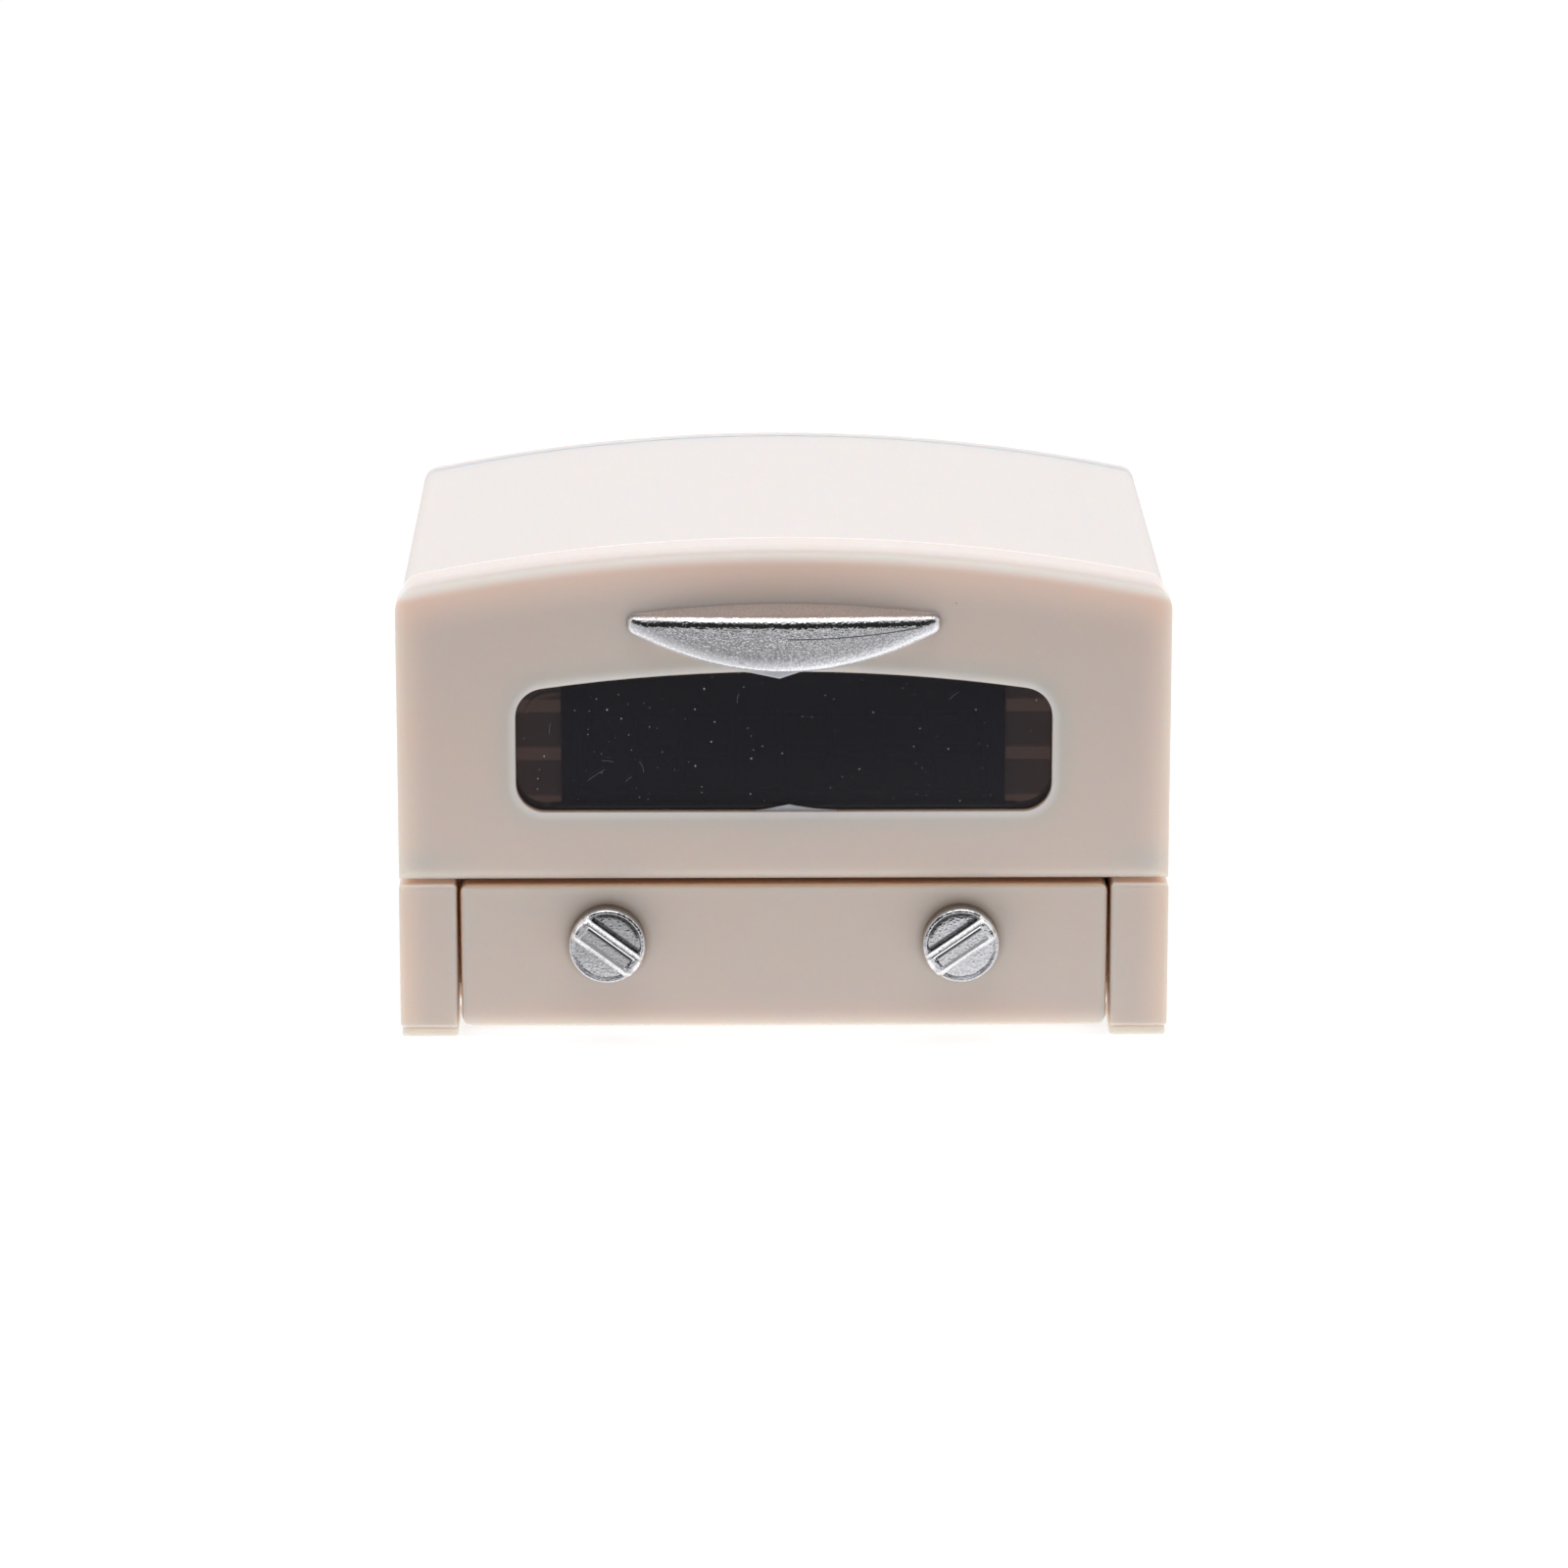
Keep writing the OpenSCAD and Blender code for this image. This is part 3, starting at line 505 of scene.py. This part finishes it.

# ---------------------------------------------------------------- Door
# The door is an arched cream moulding with a low soft bead round its window opening, whose
# pale light is painted.
# Two thin flakes of moulding flash were left on the edge of the opening.

FACE_Y = -15.0
CROWN = 29.45
ARCH_R = 106.0
WINDOW_HALF = 15.575
WINDOW_LOW = 13.65
WINDOW_CROWN = 22.05
WINDOW_CORNER = 1.7
DOOR_EDGE = 0.08
# Painted light and shade on the door: the bead's pale highlight and light, the brown shade in
# the lip, the paler lit top and its sheen, and the glows
BEAD = 0.6
BEAD_HIGHLIGHT = (0.885, 0.778, 0.735, 1.0)
BEAD_GLOW = (0.066, 0.050, 0.050, 1.0)
LIP_SHADE = (0.50, 0.36, 0.28, 1.0)
EDGE_GLOW = (0.078, 0.060, 0.045, 1.0)
TOP_LIT_PALE = (0.905, 0.840, 0.820, 1.0)
TOP_GLOW = (0.13, 0.14, 0.13, 1.0)
CROWN_SHEEN = (0.765, 0.750, 0.750, 1.0)
WARM_GLOW = (0.115, 0.060, 0.036, 1.0)
FLASH_Y = FACE_Y + 0.2
FLASH_T = 0.2
UPPER_FLASH = ((-4.2, 22.20), (-1.9, 21.93), (-0.9, 21.72), (-0.25, 21.58), (0.35, 21.78),
               (0.9, 21.97), (3.4, 22.20))
LOWER_FLASH = ((3.7, 13.60), (1.8, 13.75), (0.8, 13.90), (0.3, 14.00), (-0.3, 13.88),
               (-1.0, 13.73), (-2.0, 13.60))
FLASH_GLOW = (0.050, 0.040, 0.040, 1.0)


def past_window(finish):
    """Millimetres from the edge of the window opening, outwards over the door's face."""
    sag = finish.x * finish.x * (0.5 / (ARCH_R - CROWN + WINDOW_CROWN))
    upright = (finish.z + sag - WINDOW_CROWN).at_least(WINDOW_LOW - finish.z)
    level = finish.x.abs() - WINDOW_HALF
    up = (upright + WINDOW_CORNER).at_least(0.0)
    out = (level + WINDOW_CORNER).at_least(0.0)
    return (up * up + out * out).sqrt() - WINDOW_CORNER


def below_crown(finish):
    """Millimetres from the arched top downwards."""
    return CROWN - finish.z - finish.x * finish.x * (0.5 / ARCH_R)


def door_tint(plastic, colour):
    """Painted light and shade: pale along the arched top with a greyer sheen at its edge, a
    pale highlight in the bead, and brown shade inside the window's lip.
    """
    depth = below_crown(plastic)
    colour = plastic.mix(1 - depth.step(0.45, 1.2), colour, TOP_LIT_PALE)
    colour = plastic.mix(1 - depth.step(0.22, 0.50), colour, CROWN_SHEEN)
    past = past_window(plastic)
    colour = plastic.mix((1 - past.step(0.10, BEAD)) * 0.8, colour, BEAD_HIGHLIGHT)
    return plastic.mix(1 - past.step(0.0, 0.06), colour, LIP_SHADE)


def door_glow(plastic):
    """Painted light: warm inside the outer edges and under the arched top, pale just below the
    top's edge and in the bead round the window.
    """
    crown = below_crown(plastic)
    edges = plastic.mix(1 - (LEG_OUT - plastic.x.abs()).step(0.3, 2.2), DARK, EDGE_GLOW)
    edges = plastic.mix(1 - crown.step(1.0, 3.4), edges, WARM_GLOW)
    edges = plastic.mix(crown.step(0.20, 0.50) * (1 - crown.step(0.5, 1.15)), edges, TOP_GLOW)
    past = past_window(plastic)
    return plastic.mix(past.step(0.0, 0.06) * (1 - past.step(0.12, 0.65)), edges, BEAD_GLOW)


def flash(name, outline, material):
    """A thin flake just behind the door's face, in the window opening."""
    layers = [(x * MM, y * MM, z * MM) for y in (FLASH_Y, FLASH_Y + FLASH_T)
              for x, z in outline]
    count = len(outline)
    mesh = bpy.data.meshes.new(name)
    sides = [(i, (i + 1) % count, (i + 1) % count + count, i + count) for i in range(count)]
    caps = [tuple(reversed(range(count))), tuple(range(count, 2 * count))]
    mesh.from_pydata(layers, [], sides + caps)
    return shown_piece(name, mesh, material, "door", [])


door_plastic = cream_plastic("door_plastic", tint=door_tint, glow=door_glow)
eased("door", "door_panel", door_plastic, "door", DOOR_EDGE)
# Painted light: the flakes glow evenly with FLASH_GLOW
flash_plastic = cream_plastic("flash_plastic", SLEEVE_LIT_PALE, SLEEVE_LIT_COOL,
                              glow=lambda plastic: FLASH_GLOW)
flash("upper_flash", UPPER_FLASH, flash_plastic)
flash("lower_flash", LOWER_FLASH, flash_plastic)

# ---------------------------------------------------------------- Window
# A flat pane of smoked clear plastic lies behind the door's lip and is held from
# behind by a thin cream frame.

SMOKE = (0.0265, 0.0257, 0.0325, 1.0)
DUST = (0.80, 0.77, 0.74, 1.0)
# Painted light of the lit parts seen through the pane, at the sill and in one corner
SILL_LIGHT = (0.038, 0.037, 0.040, 1.0)
CORNER_LIGHT = (0.085, 0.060, 0.050, 1.0)
SCRATCH = (0.20, 0.20, 0.22, 1.0)
SCRATCHES = (((-11.45, 15.38), (-10.35, 16.12), 0.03), ((-10.6, 16.6), (-9.9, 16.5), 0.05),
             ((-8.42, 16.58), (-8.15, 15.85), 0.06), ((-9.22, 15.30), (-8.82, 15.66), 0.04),
             ((-2.68, 20.00), (-2.55, 20.62), 0.09), ((9.6, 20.2), (10.2, 20.7), 0.05),
             ((-13.6, 18.2), (-13.5, 18.9), 0.06))
SCRATCH_W = 0.040
PANE_EDGE = 0.05
RETAINER_EDGE = 0.08


def smoked_pane():
    """Dark and smooth, with dust and scratches, and painted light of what lies behind it: a
    faint line in one corner and a pale band at the sill.
    """
    pane = Surface("smoked_pane", Roughness=0.06, IOR=1.45, Specular_IOR_Level=0.25)
    left = 1 - 0.5 * pane.x.step(-6.0, 8.0)
    coarse = pane.dots(0.80, 0.058) * pane.noise(0.8, detail=0.0).step(0.42, 0.58) * left
    fine = pane.dots(0.55, 0.050) * pane.noise(1.0, detail=0.0).step(0.36, 0.60) * left * 0.4
    marks = coarse.at_least(fine)
    colour = pane.mix(marks, SMOKE, DUST)
    for start, end, sag in SCRATCHES:
        scratch = pane.hair(start, end, sag, SCRATCH_W)
        colour = pane.mix(scratch, colour, SCRATCH)
        marks = marks.at_least(scratch)
    past = past_window(pane)
    upper_left = (1 - pane.x.step(-13.4, -12.6)) * pane.z.step(19.0, 19.6)
    corner = (past + 0.57).band(0.0, 0.3) * upper_left
    colour = pane.mix(corner, colour, CORNER_LIGHT)
    sill = pane.z.band(WINDOW_LOW + 0.17, 0.42) * (1 - pane.x.abs().step(13.2, 13.8))
    colour = pane.mix(sill, colour, SILL_LIGHT)
    marks = marks.at_least(corner * 0.5).at_least(sill)
    pane.set(Base_Color=colour, Alpha=0.7 + 0.3 * marks)
    return pane.material


eased("pane", "window_pane", smoked_pane(), "door", PANE_EDGE, segments=2)
eased("pane_frame", "window_retainer", cream_plastic("retainer_plastic"), "door",
      RETAINER_EDGE, segments=2)

# ---------------------------------------------------------------- Handle
# A hollow crescent of plastic with a satin silver plating, pegged into the door. Its
# top is level, its face bows forward, and the rim below rolls under.

SILVER = (0.80, 0.80, 0.815, 1.0)
SILVER_DEEP = (0.64, 0.64, 0.655, 1.0)
# Black for the handle's hairlines, and also for painted shade in the knobs' creases
MARK_AND_SHADE = (0.05, 0.05, 0.05, 1.0)
HANDLE_MARKS = (((-0.1, 24.56), (8.35, 24.92), -0.12, 0.12),
                ((-2.62, 23.13), (-2.36, 23.17), 0.0, 0.10),
                ((-1.55, 24.40), (-1.30, 24.42), 0.0, 0.05))
HANDLE_GRAIN = 0.024
HANDLE_HALF = 9.05
HANDLE_OUT = 2.5
HANDLE_TOP = 26.10
HANDLE_LOW = 22.55
HANDLE_SWEEP = 2.1
HANDLE_RISE = 1.98
HANDLE_BOW = 0.65
HANDLE_WALL = 0.8
HANDLE_ROOF = 1.1
TIP_ROUND = 0.35
TOP_ROUND = 0.52
TOP_FALL = 0.32
TOP_TILT = 83
BROW_ROUND = 0.78
BROW_TURN = 150
RIM_ROUND = 0.40
RIM_GLOW = (0.34, 0.34, 0.355, 1.0)
BENCH_GLOW = (0.100, 0.072, 0.058, 1.0)
PEG_X = 4.5
PEG_R = 0.5
PEG_START = FACE_Y - 0.1
PEG_END = -13.4
PEG_SIDES = 24
STATIONS = 64


def silver_plating(name, grain_depth, marks=(), glow=None, crease_shade=None):
    """Satin plating with a fine grain. marks are dark hairlines, glow paints reflected light
    of the table on the places that face it, and the crease function paints shade into the
    creases."""
    plate = Surface(name, Metallic=1.0, Emission_Strength=1.0)
    grain = plate.noise(0.13, detail=0.5)
    colour = plate.mix(grain.step(0.3, 0.7), SILVER_DEEP, SILVER)
    for mark in marks:
        colour = plate.mix(plate.hair(*mark) * 0.9, colour, MARK_AND_SHADE)
    if crease_shade:
        colour = plate.mix(crease_shade(plate), colour, MARK_AND_SHADE)
    plate.set(Base_Color=colour, Roughness=0.12 + 0.08 * grain,
              Normal=plate.bump(grain, grain_depth),
              Emission_Color=glow(plate) if glow else DARK)
    return plate.material


def handle_glow(plate):
    """Light of the near table on the lower rim, and of the door on the level top."""
    share = plate.x * plate.x * (1 / HANDLE_HALF ** 2)
    over_rim = plate.z - HANDLE_LOW - share * HANDLE_RISE
    lit = (1 - over_rim.step(0.15, 0.95)) * (1 - plate.y.step(FACE_Y - 0.4, FACE_Y - 0.2))
    under_top = HANDLE_TOP - plate.z - share * HANDLE_BOW
    level = (1 - under_top.step(0.25, 0.40)) * plate.z.step(24.8, 24.9)
    level = level * (1 - plate.x.abs().step(8.1, 8.7))
    return plate.mix(lit, plate.mix(level, DARK, BENCH_GLOW), RIM_GLOW)


def arc(across, up, r, start, end, steps=5):
    """Points round a centre in a flat view, between two angles in degrees."""
    turns = [math.radians(start + (end - start) * i / steps) for i in range(steps + 1)]
    return [(across + r * math.cos(turn), up + r * math.sin(turn)) for turn in turns]


def handle_section(x, hollow):
    """Side view of the handle at x, as points that go once round the solid."""
    share = (x / HANDLE_HALF) ** 2
    past = max(0.0, abs(x) - HANDLE_HALF + TIP_ROUND)
    drawn = TIP_ROUND - math.sqrt(TIP_ROUND ** 2 - past ** 2)
    top = HANDLE_TOP - HANDLE_BOW * share - drawn
    low = HANDLE_LOW + HANDLE_RISE * share + drawn
    front = FACE_Y - HANDLE_OUT + HANDLE_SWEEP * share + drawn
    fit = min(1.0, (top - low - TOP_FALL) / (BROW_ROUND + RIM_ROUND),
              (FACE_Y - front) / BROW_ROUND)
    top_r = TOP_ROUND * fit
    brow_r = BROW_ROUND * fit
    rim_r = RIM_ROUND * fit
    fall = TOP_FALL * (FACE_Y - front) / HANDLE_OUT
    turn = math.radians(BROW_TURN)
    brow_y = front + brow_r
    top_y = brow_y + (brow_r - top_r) * math.cos(turn)
    brow_z = top - fall - top_r - (brow_r - top_r) * math.sin(turn)
    points = [(FACE_Y, top)] + arc(top_y, top - fall - top_r, top_r, TOP_TILT, BROW_TURN, 8)
    points += arc(brow_y, brow_z, brow_r, BROW_TURN, 180)[1:]
    points += arc(front + rim_r, low + rim_r, rim_r, 180, 270)
    inner = min(FACE_Y, front + HANDLE_WALL) if hollow else FACE_Y
    roof = max(low, top - HANDLE_ROOF) if hollow else low
    inner = max(inner, points[-1][0])
    return points + [(inner, low), (inner, roof), (FACE_Y, roof)]


def wall_between(solid, ring, following):
    """Faces between two closed rings of as many points."""
    for i in range(len(ring)):
        j = (i + 1) % len(ring)
        solid.faces.new((ring[i], ring[j], following[j], following[i]))


def finished_mesh(name, solid, angle=EDGE_ANGLE):
    """Turns the solid's faces outwards and makes it a smooth mesh."""
    bmesh.ops.recalc_face_normals(solid, faces=solid.faces)
    mesh = bpy.data.meshes.new(name)
    solid.to_mesh(mesh)
    solid.free()
    smooth(mesh, angle)
    return mesh


def handle_mesh():
    """Sections from tip to tip, solid at the tips and hollow between, and two pegs."""
    solid = bmesh.new()
    hollow_half = HANDLE_HALF - 2 * HANDLE_WALL
    places = [HANDLE_HALF * math.sin(math.pi / 2 * (2 * i / STATIONS - 1))
              for i in range(STATIONS + 1)]
    steps = [(x, abs(x) < hollow_half) for x in places]
    steps += [(side * hollow_half, hollow) for side in (-1, 1) for hollow in (False, True)]
    steps.sort(key=lambda step: (step[0], step[1] if step[0] < 0 else not step[1]))
    rings = [[solid.verts.new((x * MM, y * MM, z * MM)) for y, z in handle_section(x, hollow)]
             for x, hollow in steps]
    for ring, following in zip(rings, rings[1:]):
        wall_between(solid, ring, following)
    solid.faces.new(rings[0])
    solid.faces.new(reversed(rings[-1]))
    bmesh.ops.remove_doubles(solid, verts=solid.verts, dist=0.001 * MM)
    peg_z = HANDLE_TOP - HANDLE_BOW * (PEG_X / HANDLE_HALF) ** 2 - PEG_R - 0.05
    for peg_x in (-PEG_X, PEG_X):
        round_peg = arc(peg_x, peg_z, PEG_R, 0, 360, PEG_SIDES)[:-1]
        ends = [[solid.verts.new((x * MM, y * MM, z * MM)) for x, z in round_peg]
                for y in (PEG_START, PEG_END)]
        wall_between(solid, *ends)
        solid.faces.new(ends[0])
        solid.faces.new(reversed(ends[1]))
    return finished_mesh("crescent_handle", solid)


handle_plating = silver_plating("handle_plating", HANDLE_GRAIN, HANDLE_MARKS, handle_glow)
shown_piece("crescent_handle", handle_mesh(), handle_plating, "door",
            ["door_handle"])

# ---------------------------------------------------------------- Drawer
# A cream moulded front with rounded edges, and a plain open tray of the same plastic
# glued behind it. It slides on the frame's floor, between the legs.

KNOB_X = 10.325
KNOB_Z = 5.85
KNOB_R = 2.225
PANEL_TOP = 9.2
PANEL_HALF = 18.9
KNOB_SHADE = (0.58, 0.42, 0.30, 1.0)
PANEL_LOW = 0.57
LOW_GLOW = (0.078, 0.104, 0.108, 1.0)
GAP_GLOW = (0.030, 0.013, 0.006, 1.0)
DRAWER_EDGE = 0.08
TRAY_EDGE = 0.1


def from_knob(finish):
    """Millimetres from the nearer knob's axis."""
    out = finish.x.abs() - KNOB_X
    up = finish.z - KNOB_Z
    return (out * out + up * up).sqrt()


def drawer_tint(plastic, colour):
    """Painted brown shade round the knobs and on the faces in the gaps."""
    round_knob = 1 - from_knob(plastic).step(KNOB_R - 0.1, KNOB_R + 0.55)
    colour = plastic.mix(round_knob * 0.7, colour, KNOB_SHADE)
    edge = plastic.z.step(PANEL_TOP - 0.22, PANEL_TOP - 0.05).at_least(
        plastic.x.abs().step(PANEL_HALF - 0.2, PANEL_HALF))
    return plastic.mix(edge * 0.9, colour, GAP_SHADE)


def drawer_glow(plastic):
    """Pale light of the table along the lower edge, and brown light in the gap above."""
    low = plastic.mix(1 - (plastic.z - PANEL_LOW).step(0.15, 1.15), DARK, LOW_GLOW)
    return plastic.mix(plastic.z.step(PANEL_TOP - 0.10, PANEL_TOP), low, GAP_GLOW)


drawer_plastic = cream_plastic("drawer_plastic", LOWER_BEIGE, LOWER_COOL, drawer_tint,
                               drawer_glow)
eased("drawer_face", "drawer_front", drawer_plastic, "drawer", DRAWER_EDGE)
tray_plastic = cream_plastic("tray_plastic")
eased("tray", "drawer_tray", tray_plastic, "drawer", TRAY_EDGE)

# ---------------------------------------------------------------- Knobs and clips
# Two silver-plated knobs with a rimmed face and a slotted grip bar. Their shafts
# pass through the drawer's front and are kept by pressed steel rings.

KNOB_BACK_Y = -15.05
KNOB_TURN = {"left": 37.0, "right": -35.0}
KNOB_T = 1.3
KNOB_EDGE = 0.17
FACE_T = 1.1
FACE_DOME = 0.06
RIM_IN = 1.96
BAR_T = 1.8
BAR_FLAT = 0.52
BAR_OUT = 0.76
BAR_DROP = 0.26
BAR_FOOT = 0.035
BAR_END = 2.175
BAR_EDGE = 0.34
POCKET_END = 1.6
POCKET_UP = 0.36
POCKET_DOWN = 0.40
POCKET_T = 0.32
POCKET_LIP = 0.10
POCKET_WALL = 0.035
KNOB_GRAIN = 0.030
# Painted highlight on the grip bars' edges
KNOB_GLOW = (0.48, 0.48, 0.49, 1.0)
KNOB_SHARP = math.radians(62)
SHAFT_R = 0.8
SHAFT_L = 2.2
SHAFT_SUNK = 0.1
SHAFT_SIDES = 48
ROWS = 42
FINE_ROWS = 36
FINE_FROM = 0.20
FINE_TO = 0.90


def eased_step(distance, half):
    """0 below -half, 1 above half, and a smooth rise between them."""
    share = min(1.0, max(0.0, 0.5 + distance / (2 * half)))
    return share * share * (3 - 2 * share)


def rounded(top, r, end, edge):
    """Height at radius r of a form that ends at end, its edge rounded by edge."""
    past = min(edge, max(0.0, r - end + edge))
    return top - edge + math.sqrt(edge * edge - past * past)


def knob_height(a, b):
    """Height of the knob's front over its back, a along the grip bar and b across."""
    r = math.hypot(a, b)
    face = FACE_T + FACE_DOME * (1 - (r / RIM_IN) ** 4)
    body = face + (KNOB_T - face) * eased_step(r - RIM_IN, 0.06)
    body = min(body, rounded(KNOB_T, r, KNOB_R, KNOB_EDGE))
    if r > BAR_END - 0.002:
        return body
    bar_top = rounded(BAR_T, r, BAR_END, BAR_EDGE)
    bar_top -= BAR_DROP * max(0.0, (abs(b) - BAR_FLAT) / (BAR_OUT - BAR_FLAT))
    pocket = min(eased_step(POCKET_UP - b, POCKET_LIP),
                 eased_step(POCKET_DOWN + b, POCKET_WALL),
                 eased_step(POCKET_END - abs(a), POCKET_WALL))
    bar_top -= POCKET_T * pocket
    on_bar = eased_step(BAR_OUT + BAR_FOOT - abs(b), BAR_FOOT)
    return max(body, body + (bar_top - body) * on_bar)


def knob_mesh(name, centre_x, turn):
    """The front as rows along the grip bar, closer together where the bar has its
    edges, and then a side wall, a back and a shaft."""
    solid = bmesh.new()
    cosine, sine = math.cos(math.radians(turn)), math.sin(math.radians(turn))

    def place(a, b, h):
        return solid.verts.new(((centre_x + a * cosine + b * sine) * MM,
                                (KNOB_BACK_Y - h) * MM,
                                (KNOB_Z - a * sine + b * cosine) * MM))

    shares = [math.sin(math.pi / 2 * i / ROWS) for i in range(-ROWS, ROWS + 1)]
    across = [KNOB_R * share for share in shares]
    across = [b for b in across if not FINE_FROM <= abs(b) <= FINE_TO]
    across += [side * (FINE_FROM + (FINE_TO - FINE_FROM) * i / FINE_ROWS)
               for side in (-1, 1) for i in range(FINE_ROWS + 1)]
    across = sorted(b for b in across if abs(b) < KNOB_R - 0.001)
    rows = []
    for b in across:
        reach = math.sqrt(KNOB_R ** 2 - b * b)
        rows.append([place(reach * share, b, knob_height(reach * share, b))
                     for share in shares])
    for row, following in zip(rows, rows[1:]):
        for i in range(len(row) - 1):
            solid.faces.new((row[i], row[i + 1], following[i + 1], following[i]))
    loop = rows[0] + [row[-1] for row in rows[1:-1]]
    loop += rows[-1][::-1] + [row[0] for row in rows[-2:0:-1]]
    back = [solid.verts.new((vert.co.x, KNOB_BACK_Y * MM, vert.co.z)) for vert in loop]
    wall_between(solid, loop, back)
    solid.faces.new(back)
    shaft = [[place(a, b, h) for a, b in arc(0, 0, SHAFT_R, 0, 360, SHAFT_SIDES)[:-1]]
             for h in (SHAFT_SUNK, -SHAFT_L)]
    wall_between(solid, *shaft)
    solid.faces.new(shaft[0])
    solid.faces.new(shaft[1])
    return finished_mesh(name, solid, KNOB_SHARP)


def on_knob(plate, centre_x, turn):
    """Millimetres from the knob's axis along the grip bar, and across it."""
    cosine, sine = math.cos(math.radians(turn)), math.sin(math.radians(turn))
    out, up = plate.x - centre_x, plate.z - KNOB_Z
    return out * cosine - up * sine, out * sine + up * cosine


def knob_crease_shade(centre_x, turn):
    """Painted shade in the creases inside the rim, above the grip bar and along the pocket,
    and on the upper side wall.
    """
    def creases(plate):
        a, b = on_knob(plate, centre_x, turn)
        r = (a * a + b * b).sqrt()
        up = plate.z - KNOB_Z
        front = 1 - plate.y.step(KNOB_BACK_Y - 1.0, KNOB_BACK_Y - 0.8)
        rim = r.band(1.85, 0.46) * b.step(0.9, 1.2) * up.step(0.2, 0.8)
        foot = b.band(0.90, 0.34) * (1 - r.step(1.85, 1.95)) * 0.9
        foot = foot.at_least(b.band(0.545, 0.10) * 0.6)
        pocket = b.band(0.27, 0.34) * (1 - a.abs().step(1.5, 1.6))
        side = (1 - front) * up.step(0.0, 1.0) * 0.6
        return (rim.at_least(foot).at_least(pocket) * front).at_least(side) * 0.97

    return creases


def knob_highlights(centre_x, turn):
    """Painted highlights: pale light of the room on the edges of the grip bar."""
    def edges(plate):
        a, b = on_knob(plate, centre_x, turn)
        top = 1 - plate.y.step(KNOB_BACK_Y - 1.35, KNOB_BACK_Y - 1.2)
        upper = b.band(0.69, 0.22)
        inner = b.band(0.44, 0.19) * (1 - a.abs().step(1.60, 1.70)) * 1.15
        lip = b.band(-0.40, 0.12) * (1 - a.abs().step(1.55, 1.65))
        lower = b.band(-0.77, 0.13).at_least(lip) * 0.5
        lower = lower.at_least(b.band(-0.58, 0.64) * 0.75)
        end = a.abs().step(1.78, 1.98) * b.step(-0.35, 0.1) * 0.7
        shine = upper.at_least(inner).at_least(lower).at_least(end) * top
        return plate.mix(shine, DARK, KNOB_GLOW)

    return edges


for side, centre_x in (("left", -KNOB_X), ("right", KNOB_X)):
    turn = KNOB_TURN[side]
    name = "silver_knob_" + side
    knob_plating = silver_plating("knob_plating_" + side, KNOB_GRAIN,
                                  glow=knob_highlights(centre_x, turn),
                                  crease_shade=knob_crease_shade(centre_x, turn))
    shown_piece(name, knob_mesh(name, centre_x, turn), knob_plating, side + "_knob",
                ["knob_" + side])
    refinish("knob_clip_" + side, steel)
